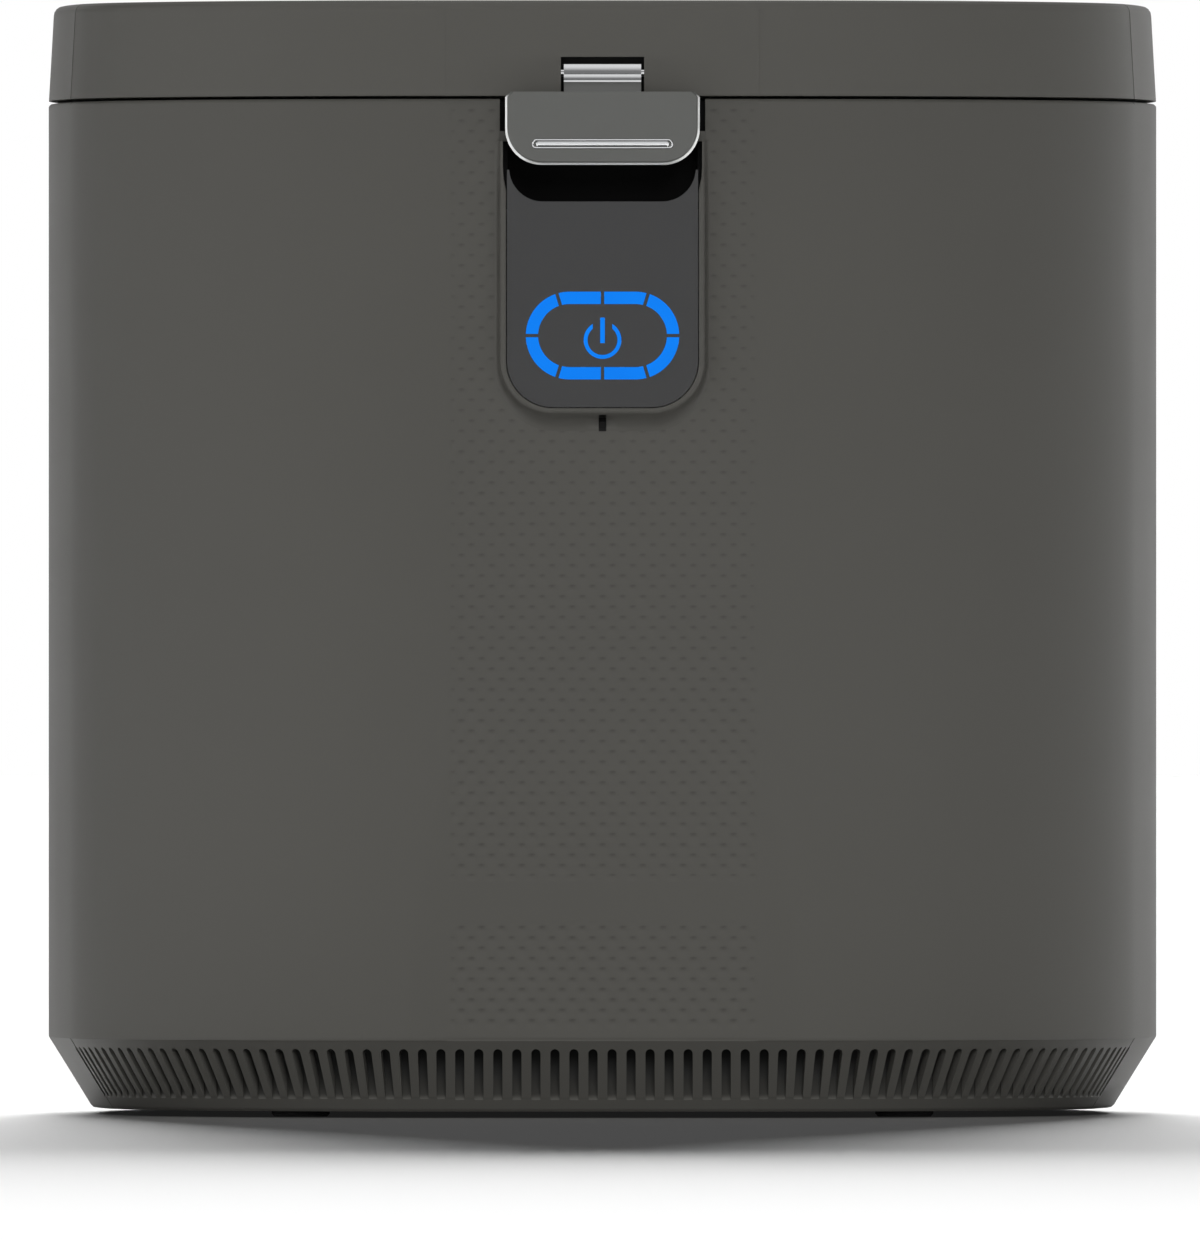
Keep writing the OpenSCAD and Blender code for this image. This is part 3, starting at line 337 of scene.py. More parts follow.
# %% Moulded plastic
def moulded(name, colour, rough=0.5, grain=0.35, depth=0.006, drift=0.06, dark=None,
            dark_share=0.03, shine_level=0.2):
    # grain and depth are in millimetres; dark takes the place and says where shade is painted into the
    # colour, where little light gets in
    material, place, shader = new_finish(name)
    cloud_size, cloud_share, gloss_drift = 60, 0.7, 0.1
    clouds = place.noise(cloud_size * mm, 2)
    fine = place.noise(grain * mm, 2, 0.6)
    low_tone = tuple(v * (1 - drift) for v in colour)
    high_tone = tuple(v * (1 + drift) for v in colour)
    paint = (clouds * cloud_share + fine * (1 - cloud_share)).tint(low_tone, high_tone)
    if dark:
        paint = dark(place).tint(paint, tuple(v * dark_share for v in colour))
    gloss = (clouds - 0.5) * gloss_drift + (fine - 0.5) * gloss_drift + rough
    set_shader(shader, Base_Color=paint, Roughness=gloss, Specular_IOR_Level=shine_level,
               Normal=place.bump(fine * (depth * mm)))
    return material


# %% [markdown]
# ## Where little light gets in
#
# Deep slots and steep little walls look darker than the plastic round them, because the light has
# to bounce its way in. A mask by place darkens the colour there. Ambient occlusion would find such
# places by itself, but it is slow, and a mask can be as sharp as the edge of a mould.

# %% Masks by place
def inside_box(low, high, soft=0.05):
    # a mask for a box in millimetres, whose edges run over twice the softness
    def mask(place):
        made = None
        for wire, a, b in zip(place.parts(), low, high):
            after = wire.rise((a - soft) * mm, (a + soft) * mm)
            before = wire.rise((b + soft) * mm, (b - soft) * mm)
            made = after * before if made is None else made * (after * before)
        return made
    return mask


# in millimetres: the centre that a front corner turns round, and from it the slots' backs
turn_x, turn_y = 42, 57.5
back_starts, back_ends = 93.7, 93.4
# the heights between which shade is painted into the slots, each with the height where it is fully so
slot_foot, slot_head = (4.6, 6.5), (21, 20.4)


def slot_floor_shade(place):
    # painted shade: the back of each vent slot, almost 10 mm behind the front face and the round
    # corners, is darkened in colour
    x, y, z = place.parts()
    across, along = (x.size() - turn_x * mm).most(0), (y + turn_y * mm).least(0)
    behind = (across * across + along * along).root().rise(back_starts * mm, back_ends * mm)
    foot, head = (z.rise(start * mm, end * mm) for start, end in (slot_foot, slot_head))
    return behind * foot * head


def pit_shade(place):
    # painted shade: the steep upper walls of the dimples, which look down, are darkened as if lit from
    # above, and the floor of the small notch is painted near black
    level, steep, wall_share = -0.05, -0.22, 0.5
    facing = Wire(place.tree, place.tree.nodes.new("ShaderNodeNewGeometry").outputs["Normal"])
    walls = facing.parts()[2].rise(level, steep)
    return (walls * wall_share).most(notch_floor_shade(place))


# painted shade: the floor of the pry notch below the frame is painted near black
notch_floor_shade = inside_box((-1.0, -161.5, 184), (1.0, -160, 188.6))
# painted shade: the lid's notch above the latch roller is painted near black
roller_notch_shade = inside_box((-11.3, -158.9, 273.5), (11.3, -140, 285.3))
# painted shade: the pry slot in the frame's foot is painted near black
pry_slot_shade = inside_box((-1.02, -164, 183.9), (1.02, -160.2, 188.4))
print("masks ready")

# %% The plastics
body_grey = (0.056, 0.0545, 0.0495)
body_plastic = moulded("body_plastic", body_grey, rough=0.50)
# painted shade on the dimples' downward walls and in the notch floor
band_plastic = moulded("band_plastic", body_grey, rough=0.50, dark=pit_shade)
# painted shade in the backs of the vent slots, down to 0.4 of the grey
shell_plastic = moulded("shell_plastic", body_grey, rough=0.50, dark=slot_floor_shade, dark_share=0.4)
liner_plastic = moulded("liner_plastic", (0.024, 0.024, 0.023), rough=0.55, grain=0.5)
lid_plastic = moulded("lid_plastic", tuple(v * 1.08 for v in body_grey), rough=0.50, dark=roller_notch_shade)
trim_plastic = moulded("trim_plastic", tuple(v * 0.95 for v in body_grey), rough=0.38, dark=pry_slot_shade)
inner_plastic = moulded("inner_plastic", (0.020, 0.020, 0.020), rough=0.55, grain=0.5)
# painted shade: a near-black plastic with little shine stands in for the shade in the finger recess
# under the lever and in the pry slot
recess_plastic = moulded("recess_plastic", (0.0045, 0.0045, 0.0045), rough=0.6, grain=0.5,
                         shine_level=0.04)
print("plastics made")

# %% [markdown]
# ## The panel and its lights
#
# The panel is a smoked plastic plate with a satin front: darker than the body, and smooth enough to
# show a soft sheen. On the machine, the eight bars and the power symbol are windows with lamps
# behind them. Lamps could stand there in the model too, but their glow wouldn't survive the export,
# so the bars shine by themselves, with a blue whose strength drifts a little from bar to bar.

# %% Panel and lights
def smoked(name, colour, rough):
    material, place, shader = new_finish(name)
    haze = place.noise(25 * mm, 3)
    fine = place.noise(0.25 * mm, 2)
    paint = haze.tint(tuple(v * 0.93 for v in colour), tuple(v * 1.07 for v in colour))
    set_shader(shader, Base_Color=paint, Roughness=(haze - 0.5) * 0.08 + rough,
               Normal=place.bump(fine * (0.002 * mm)))
    return material


def lit(name, colour, level):
    material, place, shader = new_finish(name)
    flow = place.noise(14 * mm, 1)
    shade = flow.tint(tuple(v * 0.88 for v in colour), tuple(min(1, v * 1.1) for v in colour))
    set_shader(shader, Base_Color=(0, 0, 0), Emission_Color=shade, Emission_Strength=level,
               Roughness=0.35, Specular_IOR_Level=0.08)
    return material


panel_face = smoked("panel_face", (0.022, 0.022, 0.0225), 0.40)
blue_light = lit("blue_light", (0.002, 0.222, 1.0), 0.97)
print("panel and lights made")

# %% [markdown]
# ## Metals
#
# Three metals are in sight: bright chrome on the latch's roller and inlay, drawn steel on the
# hinge, the well and the bail, and brass in the bearings. Drawn steel has fine streaks along the
# way it was pulled, so its noise is stretched many times in one direction. A wave texture would
# also make lines, but all of one width.

# %% Metals
def bright_metal(name, colour, rough):
    material, place, shader = new_finish(name)
    smear = place.noise(9 * mm, 3)
    scuff = place.noise(0.5 * mm, 3)
    set_shader(shader, Base_Color=smear.tint(tuple(v * 0.94 for v in colour), colour), Metallic=1.0,
               Roughness=(smear - 0.5) * 0.1 + rough, Normal=place.bump(scuff * (0.0006 * mm)))
    return material


def drawn_metal(name, colour, rough, along=(1, 1, 0.03)):
    # along holds how much the noise runs in each direction: small numbers make long streaks
    material, place, shader = new_finish(name)
    streaks = place.stretched(*along).noise(0.35 * mm, 3, 0.6)
    cloud = place.noise(30 * mm, 2)
    mixed = streaks * 0.6 + cloud * 0.4
    set_shader(shader, Base_Color=mixed.tint(tuple(v * 0.82 for v in colour), colour), Metallic=1.0,
               Roughness=(streaks - 0.5) * 0.16 + rough, Normal=place.bump(streaks * (0.003 * mm)))
    return material


chrome = bright_metal("chrome", (0.82, 0.83, 0.84), 0.10)
drawn_steel = drawn_metal("drawn_steel", (0.56, 0.56, 0.55), 0.34)
bail_steel = drawn_metal("bail_steel", (0.60, 0.60, 0.59), 0.26, (0.05, 1, 1))
plated_steel = drawn_metal("plated_steel", (0.50, 0.51, 0.50), 0.38, (0.06, 1, 1))
brass = bright_metal("brass", (0.78, 0.60, 0.32), 0.28)
print("metals made")

# %% [markdown]
# ## The lever's finish
#
# The lever is a cast plate in satin gunmetal. Its rounded front edge is polished, which draws a
# thin bright line along its sides and foot. That line is partly a painted highlight: the edge's
# colour is near white and only partly metallic, so it stays bright where a mirror would show the
# dark floor. The edge is the part of the surface that no longer faces the front, so the direction
# of the surface, taken from the mesh, tells the two apart. A second slot on the edge's faces would
# need the CAD piece to be cut up.

# %% Lever finish
# in millimetres: the polished line, whose bright colour is partly a painted highlight, stays behind the
# lever's face and under its top edge
line_behind, line_under = (-167.7, -167.5), (274.2, 273.4)
satin, polished_highlight = (0.075, 0.076, 0.072), (0.75, 0.76, 0.75)


def lever_metal(name):
    material, place, shader = new_finish(name)
    facing = Wire(place.tree, place.tree.nodes.new("ShaderNodeNewGeometry").outputs["True Normal"])
    ahead = facing.parts()[1] * -1.0
    x, y, z = place.parts()
    # the polished line is the outer half of the chamfer; its near-white, half-matt colour is a painted
    # highlight
    behind, under = (wire.rise(*(v * mm for v in limits))
                     for wire, limits in ((y, line_behind), (z, line_under)))
    edge = ahead.rise(0.97, 0.90) * ahead.rise(0.2, 0.35) * behind * under
    streaks = place.stretched(0.03, 1, 1).noise(0.3 * mm, 3)
    set_shader(shader, Base_Color=edge.tint(satin, polished_highlight), Metallic=edge * 0.35 + 0.1,
               Roughness=0.40 - edge * 0.15 + (streaks - 0.5) * 0.06,
               Normal=place.bump(streaks * (0.002 * mm)))
    return material


gunmetal = lever_metal("gunmetal")
print("lever finish made")

# %% [markdown]
# ## Rubber, nylon, coated steel, boards and charcoal
#
# The pieces inside have finishes of their own. Rubber is dull with a fine bloom. Nylon gears are
# milky. The bucket is coated with a dark enamel that has pale specks. A board has green lacquer over
# copper tracks. Charcoal is a bed of black grains, which a cell pattern makes, because modelled
# grains would cost thousands of faces that nobody sees.

# %% The other finishes
def rubbery(name, colour, rough=0.82):
    material, place, shader = new_finish(name)
    bloom = place.noise(4 * mm, 4, 0.65)
    pores = place.noise(0.4 * mm, 2)
    dusty = bloom.tint(tuple(v * 0.8 for v in colour), tuple(v * 1.3 for v in colour))
    set_shader(shader, Base_Color=dusty, Roughness=(bloom - 0.5) * 0.15 + rough,
               Normal=place.bump(pores * (0.01 * mm)))
    return material


def cells(place, size):
    # how far a place is from the middle of its cell, and a random shade for each cell
    inputs = {"Vector": place, "Scale": 1 / (size * mm)}
    away, shade = (place.node("ShaderNodeTexVoronoi", None, inputs, out=out) for out in (0, 1))
    return away, shade.parts()[0]


def enamelled(name):
    material, place, shader = new_finish(name)
    away, chance = cells(place, 2.6)
    speck = away.rise(0.16, 0.10) * chance.rise(0.55, 0.6)
    orange_peel = place.noise(1.6 * mm, 2)
    set_shader(shader, Base_Color=speck.tint((0.030, 0.031, 0.033), (0.42, 0.42, 0.40)),
               Roughness=0.30 + orange_peel * 0.1, Normal=place.bump(orange_peel * (0.012 * mm)))
    return material


def board_lacquer(name):
    material, place, shader = new_finish(name)
    x, y, z = place.parts()
    # tracks run along y near the machine's floor and along z behind the panel
    along = y + z
    tracks = x.off_middle(2.6 * mm).rise(0.45 * mm, 0.35 * mm)
    breaks = place.stretched(1, 0.2, 0.2).noise(3 * mm, 1).rise(0.5, 0.53)
    pads = (x.off_middle(5.2 * mm) + along.off_middle(6.5 * mm)).rise(0.9 * mm, 0.8 * mm)
    copper = tracks * breaks
    green = copper.tint((0.008, 0.060, 0.024), (0.020, 0.120, 0.045))
    set_shader(shader, Base_Color=pads.tint(green, (0.55, 0.55, 0.52)), Metallic=pads,
               Roughness=0.34 - pads * 0.06, Normal=place.bump((copper + pads) * (0.03 * mm)))
    return material


def charcoal_bed(name):
    material, place, shader = new_finish(name)
    away, shade = cells(place, 3.2)
    set_shader(shader, Base_Color=shade.tint((0.006, 0.006, 0.006), (0.030, 0.029, 0.028)),
               Roughness=0.5 + away * 0.4, Normal=place.bump(away * (-1.2 * mm)))
    return material


rubber = rubbery("rubber", (0.018, 0.018, 0.018))
nylon = moulded("nylon", (0.66, 0.64, 0.57), rough=0.42, grain=0.6, drift=0.05)
enamel = enamelled("enamel")
lacquer = board_lacquer("lacquer")
charcoal = charcoal_bed("charcoal")
print("other finishes made")

# %% [markdown]
# ## Dressing the CAD pieces
#
# The CAD pieces keep their shapes. Each gets its finish by putting the material in its slots, and a
# check at the end makes sure that no piece was forgotten. One table from finish to pieces is easier
# to read and to change than a line of code for each piece.

# %% Give each CAD piece its finish
wear = {
    shell_plastic: ["housing_shell"],
    lid_plastic: ["lid_shell"],
    trim_plastic: ["control_pod", "filter_door"],
    # the finger recess is painted near black as shade
    recess_plastic: ["latch_cup"],
    liner_plastic: ["vent_liner"],
    inner_plastic: ["base_pan", "top_deck", "lid_liner", "fan_frame", "exhaust_duct",
                    "filter_sleeve", "inlet_body", "filter_case", "bail_grip"],
    panel_face: ["control_panel"],
    blue_light: ["indicator_ring", "power_mark"],
    chrome: ["latch_barrel", "latch_pin", "drive_shaft", "agitator_shaft"],
    drawn_steel: ["bucket_well", "gear_frame_lower", "gear_frame_upper", "drive_motor",
                  "agitator_arms"],
    plated_steel: ["hinge_bracket", "hinge_pin", "lid_hinge_leaf", "latch_keeper", "inlet_pins",
                   "bucket_ear_left", "bucket_ear_right"],
    bail_steel: ["bail_arm"],
    brass: ["output_bearing", "bucket_bush", "motor_pinion", "heater_plate"],
    gunmetal: ["latch_lever", "latch_inlay"],
    rubber: ["foot_front_left", "foot_front_right", "foot_rear_left", "foot_rear_right",
             "lid_gasket", "filter_seal"],
    nylon: ["drive_gear", "fan_impeller"],
    enamel: ["bucket_pail"],
    lacquer: ["control_board", "power_board"],
    charcoal: ["filter_charge"],
}
dressed = {}
for finish, names in wear.items():
    for name in names:
        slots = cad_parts[name].data.materials
        for i in range(max(1, len(slots))):
            if i < len(slots):
                slots[i] = finish
            else:
                slots.append(finish)
        dressed[name] = finish.name
bare_nodes = sorted(set(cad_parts) - set(dressed))
print(len(dressed), "pieces dressed, left bare:", bare_nodes)

# %% [markdown]
# ## Making pieces
#
# The small pieces below are meshes that are built point by point. They could be pushed and pulled by
# hand in edit mode, but points that come from measured values can be made again. Each piece rides
# on the body that carries it, so it moves when the joints move, and shades smoothly except over
# sharp edges.

# %% Turn a mesh into a piece of the machine
def add_piece(name, mesh_parts, finish, body, sharp=35):
    # body names what carries the piece, and finish is the material that it takes
    points, faces = mesh_parts
    mesh = bpy.data.meshes.new(name)
    mesh.from_pydata(points, [], faces)
    mesh.validate()
    shape = bmesh.new()
    shape.from_mesh(mesh)
    bmesh.ops.recalc_face_normals(shape, faces=shape.faces)
    shape.to_mesh(mesh)
    shape.free()
    mesh.materials.append(finish)
    piece = bpy.data.objects.new(name, mesh)
    bpy.context.scene.collection.objects.link(piece)
    mesh.shade_smooth()
    mesh.set_sharp_from_angle(angle=math.radians(sharp))
    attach(piece, body)
    return piece


# %% [markdown]
# ## The outer skin
#
# The shell's plan outline is a flat front, a tight front corner, a bowed side and a rear corner. On
# the real machine they run into each other without a line. The CAD shell is put together from
# separate stretches, so a thin skin is carried round it here, a fifth of a millimetre proud at the
# front, that dies away to nothing at the back. Shrink-wrapping a sheet onto the shell would follow
# the little steps that it is meant to hide, so the skin is worked out from the same angles and
# centres as the CAD outline.

# %% Outline of the body
body_half, front_r, side_r, rear_r = 150, 103, 432, 70
front_y, rear_y = -160.5, 160.5
side_turn = math.radians(10)
side_cx = body_half - side_r
corner_cx, corner_cy = side_cx + (side_r - front_r) * math.cos(side_turn), front_y + front_r
side_cy = corner_cy + (side_r - front_r) * math.sin(side_turn)
rear_cy = rear_y - rear_r
rear_turn = math.asin((rear_cy - side_cy) / (side_r - rear_r))
rear_cx = side_cx + (side_r - rear_r) * math.cos(rear_turn)
print("front corner turns round", round(corner_cx, 1), round(corner_cy, 1),
      "rear corner round", round(rear_cx, 1), round(rear_cy, 1))

# %% Run of the skin
proud, proud_side = 0.22, 0.05
corner_steps, side_steps, rear_steps = 36, 24, 30


def arc_run(cx, cy, r, start, end, steps, proud_start, proud_end):
    # (x, y, outward x, outward y, how proud) along an arc
    run = []
    for k in range(steps + 1):
        share = k / steps
        at = start + (end - start) * share
        nx, ny = math.cos(at), math.sin(at)
        run.append((cx + r * nx, cy + r * ny, nx, ny, proud_start + (proud_end - proud_start) * share))
    return run


band_half = 41.75
half_run = ([(band_half, front_y, 0, -1, proud)]
            + arc_run(corner_cx, corner_cy, front_r, -math.pi / 2, -side_turn, corner_steps,
                      proud, proud_side)
            + arc_run(side_cx, side_cy, side_r, -side_turn, rear_turn, side_steps,
                      proud_side, proud_side)[1:]
            + arc_run(rear_cx, rear_cy, rear_r, rear_turn, math.pi / 2, rear_steps,
                      proud_side, 0)[1:])
print(len(half_run), "places along each skin")

# %% The two skins
crease_z, body_top, tucked = 20.6, 272.5, -0.3
# heights of the skin with the share of its proudness there; its ends are tucked into the wall
ends = ((0.1, None), (0.1, 0.5), (0.7, 1), (1.2, 1)), ((1.1, 1), (0.6, 1), (0.1, 0.5), (0.1, None))
skin_rows = [(crease_z + above, share) for above, share in ends[0]]
skin_rows += [(110, 1), (190, 1)]
skin_rows += [(body_top - below, share) for below, share in ends[1]]


def skin_mesh(side):
    points, faces, rows = [], [], len(skin_rows)
    for x, y, nx, ny, out in half_run:
        for z, share in skin_rows:
            by = tucked if share is None else out * share
            points.append((side * (x + nx * by) * mm, (y + ny * by) * mm, z * mm))
    for k in range(len(half_run) - 1):
        for i in range(rows - 1):
            a = k * rows + i
            faces.append((a, a + rows, a + rows + 1, a + 1))
    return points, faces


for side, name in ((-1, "body_skin_left"), (1, "body_skin_right")):
    skin = add_piece(name, skin_mesh(side), body_plastic, "housing", sharp=50)
    print(name, len(skin.data.polygons), "faces")

# %% [markdown]
# ## The dimpled band
#
# A band down the middle of the front carries small diamond dimples in staggered rows, 5.4 mm apart
# and 2.8 mm from row to row. A bump in the material would vanish from the exported shape, so this
# part of the skin has real dimples. Its grid has eight steps to a repeat, and every point asks how
# far it is from the nearest dimple of two lattices, the second one shifted by half a step. Each
# dimple has a steep upper wall, which looks down; light from above leaves it darker, and painted
# shade darkens its colour there too.

# %% One dimple
dimple_deep, half_wide, half_high = 0.21, 1.75, 1.45
# shares of the half height: where a dimple starts to narrow, how fast, and how tall its wall is
narrow_from, narrow_by, wall_part = 0.4, 0.3, 0.5


def one_dimple(across, above):
    # a diamond with a steep upper wall and a long lower slope; both distances are in millimetres
    v = above / half_high
    width = 1 - abs(across) / half_wide - max(v - narrow_from, 0) * narrow_by
    if width <= 0 or not -1 < v < 1:
        return 0
    wall = min((1 - v) / wall_part, 1)
    return min(width * 1.6, 1) * wall * (1 + v) / 1.5


print("one dimple is", 2 * half_wide, "by", 2 * half_high, "mm")

# %% [markdown]
# ## The plan of the band
#
# The band runs from the crease to the body's top, with a plain margin at each side and one smooth
# strip low down, and the panel's frame covers its top. Its faces stop under that frame. A boolean
# cut would leave long thin faces there, so the grid has a line where the frame's side runs, and
# leaves out the faces inside.

# %% Plan of the band
step_x, step_z = 5.4, 5.54
band_low, band_high, margin = 23.8, 270.4, 0.6
bare_low, bare_high = 52.6, 63.8
recess_half, pod_low, pod_r = 27.6, 189.2, 13.5


def grid_lines(low, high, step, extra=()):
    # lines on the lattice, with the ends and the extra ones in place of any that are too close
    fixed = [low, high, *extra]
    near = [step * k for k in range(math.ceil(low / step), math.floor(high / step) + 1)]
    return sorted(fixed + [v for v in near if all(abs(v - f) > step * 0.35 for f in fixed)])


def hollow_at(x, z):
    # how deep the band is at a place, over both lattices
    if band_half - abs(x) < margin or not band_low < z < band_high or bare_low < z < bare_high:
        return 0
    deepest = 0
    for shift in (0, 0.5):
        across = x - step_x * (round(x / step_x - shift) + shift)
        above = z - step_z * (round(z / step_z - shift) + shift)
        deepest = max(deepest, one_dimple(across, above))
    return deepest * dimple_deep


def under_pod(x, z):
    # whether a place lies inside the frame's outline, whose lower corners are round
    if abs(x) > recess_half or z < pod_low:
        return False
    dx, dz = abs(x) - (recess_half - pod_r), pod_low + pod_r - z
    return not (dx > 0 and dz > 0 and dx * dx + dz * dz > pod_r * pod_r)


low_row, high_row, per_step = skin_rows[2][0], skin_rows[-3][0], 8
columns = grid_lines(-band_half, band_half, step_x / per_step, (-recess_half, recess_half))
rows = grid_lines(low_row, high_row, step_z / per_step)
print("grid of", len(columns), "by", len(rows), "lines")

# %% Dimpled band
edge_into_wall = 0.1
net_shape = bmesh.new()
net = [[net_shape.verts.new((x * mm, (front_y - proud + hollow_at(x, z)) * mm, z * mm))
        for x in columns] for z in rows]
for j in range(len(rows) - 1):
    for i in range(len(columns) - 1):
        if not under_pod((columns[i] + columns[i + 1]) / 2, (rows[j] + rows[j + 1]) / 2):
            net_shape.faces.new((net[j][i], net[j][i + 1], net[j + 1][i + 1], net[j + 1][i]))
for loose in [v for v in net_shape.verts if not v.link_faces]:
    net_shape.verts.remove(loose)
rim = [e for e in net_shape.edges if len(e.link_faces) == 1]
for v in bmesh.ops.extrude_edge_only(net_shape, edges=rim)["geom"]:
    if isinstance(v, bmesh.types.BMVert):
        v.co.y = (front_y + edge_into_wall) * mm
net_shape.verts.index_update()
band_mesh = ([tuple(v.co) for v in net_shape.verts],
             [tuple(v.index for v in f.verts) for f in net_shape.faces])
net_shape.free()
band = add_piece("dimpled_band", band_mesh, band_plastic, "housing", sharp=50)
print("band:", len(band.data.polygons), "faces")

# %% [markdown]
# ## The frame round the panel
#
# The frame is a rounded bead that follows the panel's edge, with a soft hollow foot that runs out
# into the body. The foot is short at the sides and long below. A curve with a bevel could follow the
# edge, but its section would be the same all round. So one section is swept down one side, round
# the bottom and up the other, and its foot grows where the outline faces down.

# %% Frame: path and section
opening_half, opening_low, opening_r, frame_top = 25.8, 190.2, 12.6, 261.7
crest, crest_wide = 4.1, 1.6
side_count, side_step, bend_count = 18, 3.3, 20
# how wide the foot is at the sides, and how much wider below
foot_side, foot_below = 1.3, 3.3
# the crest sinks over these heights, and the bead's inner edge draws back, as the panel's top leans in
sink_from, sink_over, sink_by = 246, 15.7, 0.5
draw_from, draw_over, draw_by = 249, 4, 0.9
into_wall, behind_panel = -0.1, -2.5


def frame_path():
    # (x, z, outward x, outward z) from the top left, round the bottom, to the top right
    left = [(-opening_half, frame_top - k * side_step, -1, 0) for k in range(side_count)]
    bend_z, bend_x = opening_low + opening_r, opening_half - opening_r
    bend = []
    for k in range(bend_count + 1):
        across, down = math.cos(math.pi / 2 * k / bend_count), math.sin(math.pi / 2 * k / bend_count)
        bend.append((-bend_x - opening_r * across, bend_z - opening_r * down, -across, -down))
    half = left + bend + [(x, opening_low, 0, -1) for x in (-9, -5, -1)]
    return half + [(-x, z, -nx, nz) for x, z, nx, nz in reversed(half)]


def frame_section(z, down):
    # (outwards, forwards) pairs at a height; down says how much the outline faces down there
    foot = foot_side + foot_below * down ** 2
    sunk = min(max((z - sink_from) / sink_over, 0), 1)
    high = crest * (1 - sink_by * sunk * sunk * (3 - 2 * sunk))
    inner = min(max((z - draw_from) / draw_over, 0), 1) * draw_by
    bead = [(inner, behind_panel), (inner, high - 0.4), (inner + 0.1, high - 0.15),
            (inner * 0.5 + 0.45, high), (0.95, high), (1.3, high - 0.12), (crest_wide, high - 0.45)]
    drop = high - 0.45 - proud
    slope = [(crest_wide + foot * t, proud - 0.01 + drop * (1 - t) ** 1.9)
             for t in (0.1, 0.22, 0.35, 0.5, 0.65, 0.82, 1)]
    return bead + slope + [(crest_wide + foot, into_wall), (crest_wide, into_wall),
                           (crest_wide, behind_panel)]


path = frame_path()
print("frame path has", len(path), "places")

# %% Sweep the frame
frame_points, frame_faces = [], []
for x, z, nx, nz in path:
    section = frame_section(z, max(-nz, 0))
    frame_points += [((x + nx * out) * mm, (front_y - ahead) * mm, (z + nz * out) * mm)
                     for out, ahead in section]
wide = len(section)
for k in range(len(path) - 1):
    for i in range(wide):
        a, b = k * wide + i, k * wide + (i + 1) % wide
        frame_faces.append((a, b, b + wide, a + wide))
frame_faces += [tuple(range(wide)), tuple(len(path) * wide - 1 - i for i in range(wide))]
panel_frame = add_piece("panel_frame", (frame_points, frame_faces), trim_plastic, "housing",
                        sharp=60)
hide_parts("control_pod")
print("frame:", len(panel_frame.data.polygons), "faces")

# %% [markdown]
# ## The pry slot
#
# A small upright notch below the panel lets a screwdriver lift the panel out. A boolean cut could
# make it, but it would break the sweep's even faces. Four faces of the foot, one above the other in
# the middle, are pressed in with narrow walls round them.

# %% Press the slot in
middle = len(path) // 2 - 1
slot_lip, slot_deep, slot_faces = 0.12, 0.9, range(8, 12)
shape = bmesh.new()
shape.from_mesh(panel_frame.data)
shape.faces.ensure_lookup_table()
pressed = [shape.faces[middle * wide + i] for i in slot_faces]
walls = bmesh.ops.inset_region(shape, faces=pressed, thickness=slot_lip * mm,
                               depth=-slot_deep * mm)["faces"]
# the slot's floor and walls take the near-black plastic, which is painted shade
for face in pressed + walls:
    face.material_index = 1
panel_frame.data.materials.append(recess_plastic)
shape.to_mesh(panel_frame.data)
shape.free()
print("slot:", len(pressed), "floor faces and", len(walls), "walls")

# %% [markdown]
# ## The latch roller
#
# The lever hooks on with a rolled metal sleeve. Its front shows bright and grey lines, because the
# sheet is rolled with three flats that lean back by different angles. A plain cylinder would show
# one soft line. So the section is drawn from those flats and carried along the sleeve, with its
# ends closed.

# %% Roller
roller_low, roller_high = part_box("latch_barrel")
roller_y, roller_z = ((roller_low[i] + roller_high[i]) / 2 / mm for i in (1, 2))
roller_half = roller_high[0] / mm
# (forwards, upwards) pairs from the top, down the front and up the back
roller_section = [(0.9, 2.6), (1.7, 2.5), (1.88, 2.35), (2.04, 0.85), (2.36, -0.2), (2.2, -0.3),
                  (2.02, -0.35), (2.12, -1.3), (2.28, -1.8), (2.0, -1.92), (2.04, -2.5),
                  (1.8, -2.65), (0.7, -2.7), (-1.6, -2.2), (-2.6, -0.9), (-2.7, 0.4),
                  (-1.9, 1.9), (-0.6, 2.6)]
roller_points = [(x * mm, (roller_y - ahead) * mm, (roller_z + z) * mm)
                 for x in (-roller_half, roller_half) for ahead, z in roller_section]
count = len(roller_section)
roller_faces = [(i, (i + 1) % count, (i + 1) % count + count, i + count) for i in range(count)]
roller_faces += [tuple(range(count)), tuple(reversed(range(count, 2 * count)))]
roller = add_piece("latch_roller", (roller_points, roller_faces), chrome, "latch",
                   sharp=12)
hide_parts("latch_barrel")
print("roller at", round(roller_y, 2), round(roller_z, 2), "half length", round(roller_half, 2))

# %% [markdown]
# ## The lever's inlay
#
# The inlay is a shallow groove with a bright bead round it and a half-round bar lying in it. A tube
# along a curve would do for the bead, but not for the bar. So both start from the same stadium
# shape, which is two straight runs and two half circles.

# %% Inlay: shapes
def stadium_path(half_straight, r, steps=16):
    turns = [math.pi * k / steps for k in range(steps + 1)]
    half = [(half_straight + r * math.sin(turn), r * math.cos(turn)) for turn in turns]
    return half + [(-x, -z) for x, z in half]


def swept_ring(path, section, centre):
    # section: (outwards, forwards) pairs in mm; path: (x, z) pairs in mm, run clockwise
    count, points, faces = len(path), [], []
    for k, (x, z) in enumerate(path):
        ax, az = path[k - 1]
        bx, bz = path[(k + 1) % count]
        run = math.hypot(bx - ax, bz - az)
        nx, nz = -(bz - az) / run, (bx - ax) / run
        for out, ahead in section:
            points.append(((x + nx * out) * mm, (centre[0] - ahead) * mm,
                           (centre[1] + z + nz * out) * mm))
    wide = len(section)
    for k in range(count):
        for i in range(wide):
            a, b = k * wide + i, k * wide + (i + 1) % wide
            c, d = ((k + 1) % count) * wide + (i + 1) % wide, ((k + 1) % count) * wide + i
            faces.append((a, b, c, d))
    return points, faces


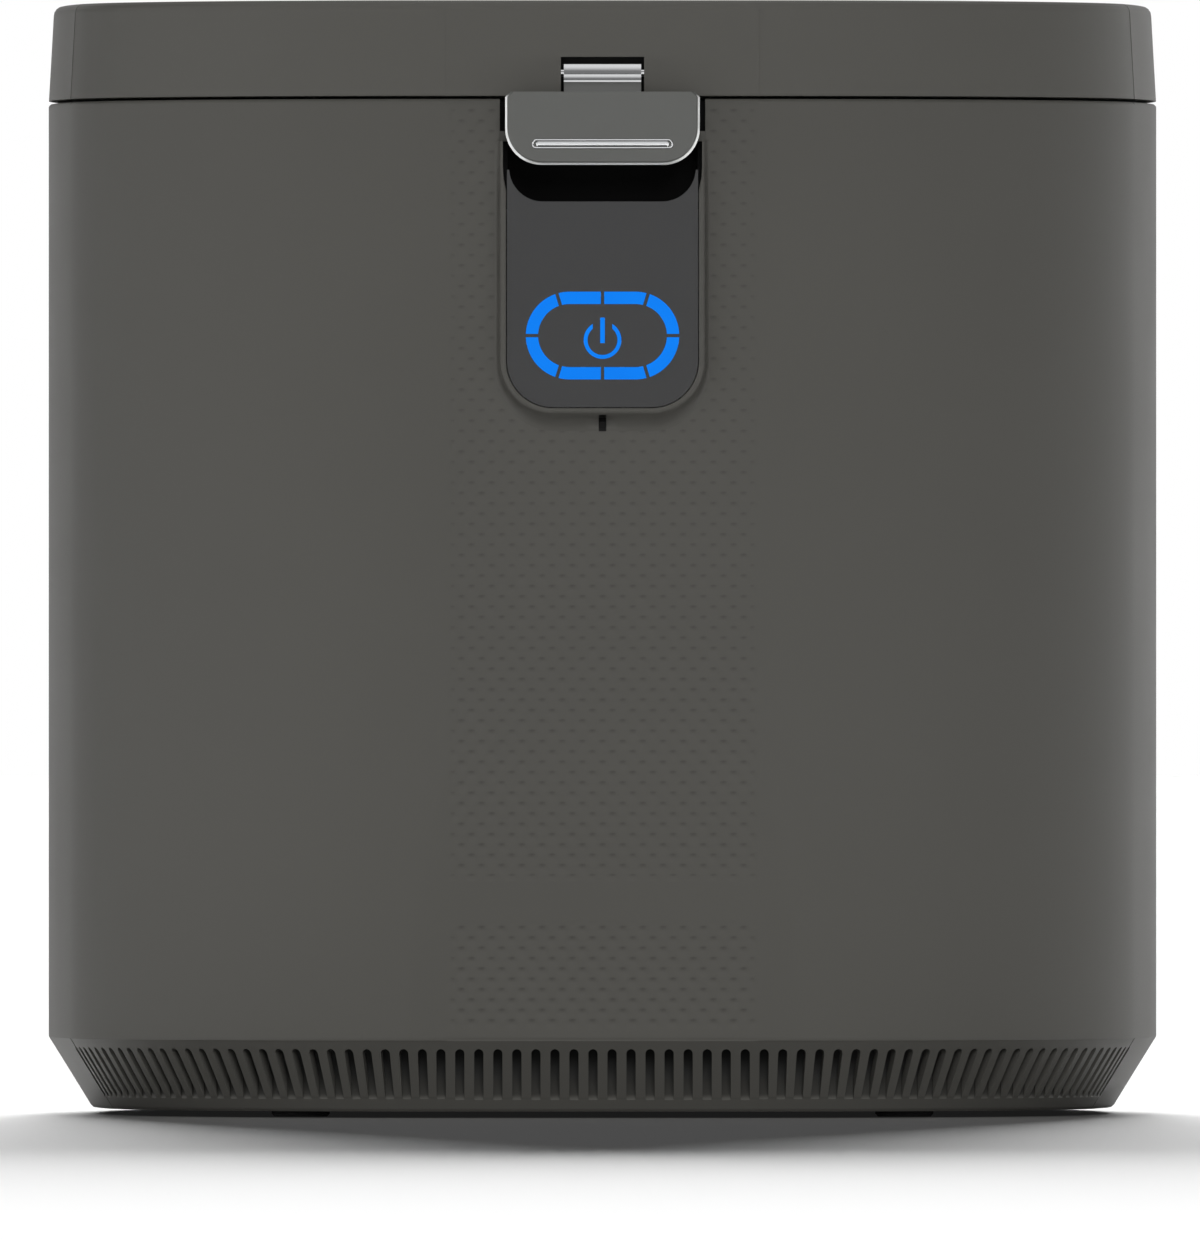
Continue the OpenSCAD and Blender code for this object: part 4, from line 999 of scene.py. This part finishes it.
def round_section(r, steps=10):
    turns = [2 * math.pi * k / steps for k in range(steps)]
    return [(r * math.cos(turn), r * math.sin(turn)) for turn in turns]


def domed_bar(half_straight, r, height, centre, layers=5, crest_share=0.02):
    # a stadium whose layers shrink towards its middle line; the crest keeps a little width
    path, points, faces = stadium_path(half_straight, r), [], []
    count = len(path)
    for layer in range(layers + 1):
        turn = math.pi / 2 * layer / layers
        scale = max(math.cos(turn), crest_share)
        for x, z in path:
            core = max(-half_straight, min(half_straight, x))
            points.append(((core + (x - core) * scale) * mm,
                           (centre[0] - height * math.sin(turn) ** 0.5) * mm,
                           (centre[1] + z * scale) * mm))
    for layer in range(layers):
        for k in range(count):
            a, b = layer * count + k, layer * count + (k + 1) % count
            faces.append((a, b, b + count, a + count))
    faces.append(tuple(layers * count + k for k in range(count)))
    faces.append(tuple(k for k in reversed(range(count))))
    return points, faces


print("a half circle of the stadium has", len(stadium_path(1, 1)) // 2, "points")

# %% Inlay: bead and bar
inlay_low, inlay_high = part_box("latch_inlay")
inlay_y, inlay_z = inlay_low[1] / mm, (inlay_low[2] + inlay_high[2]) / 2 / mm
inlay_half, inlay_r = ((inlay_high[i] - inlay_low[i]) / 2 / mm for i in (0, 2))
bead_r, bead_inset, bead_proud = 0.24, 0.2, 0.12
bead_line = stadium_path(inlay_half - inlay_r, inlay_r - bead_inset)
bead_mesh = swept_ring(bead_line, round_section(bead_r), (inlay_y - bead_proud, inlay_z))
add_piece("inlay_bead", bead_mesh, chrome, "latch")
bar_r, bar_short, bar_high, bar_proud = 0.8, 0.6, 0.34, 0.02
bar_mesh = domed_bar(inlay_half - inlay_r - bar_short, bar_r, bar_high, (inlay_y - bar_proud, inlay_z))
add_piece("inlay_bar", bar_mesh, chrome, "latch")
print("inlay at", round(inlay_y, 2), round(inlay_z, 2), "half length", round(inlay_half, 2),
      "half height", round(inlay_r, 2))

# %% Finish
low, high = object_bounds()
print("visual box in mm:", [round(v / mm, 1) for v in low], [round(v / mm, 1) for v in high])
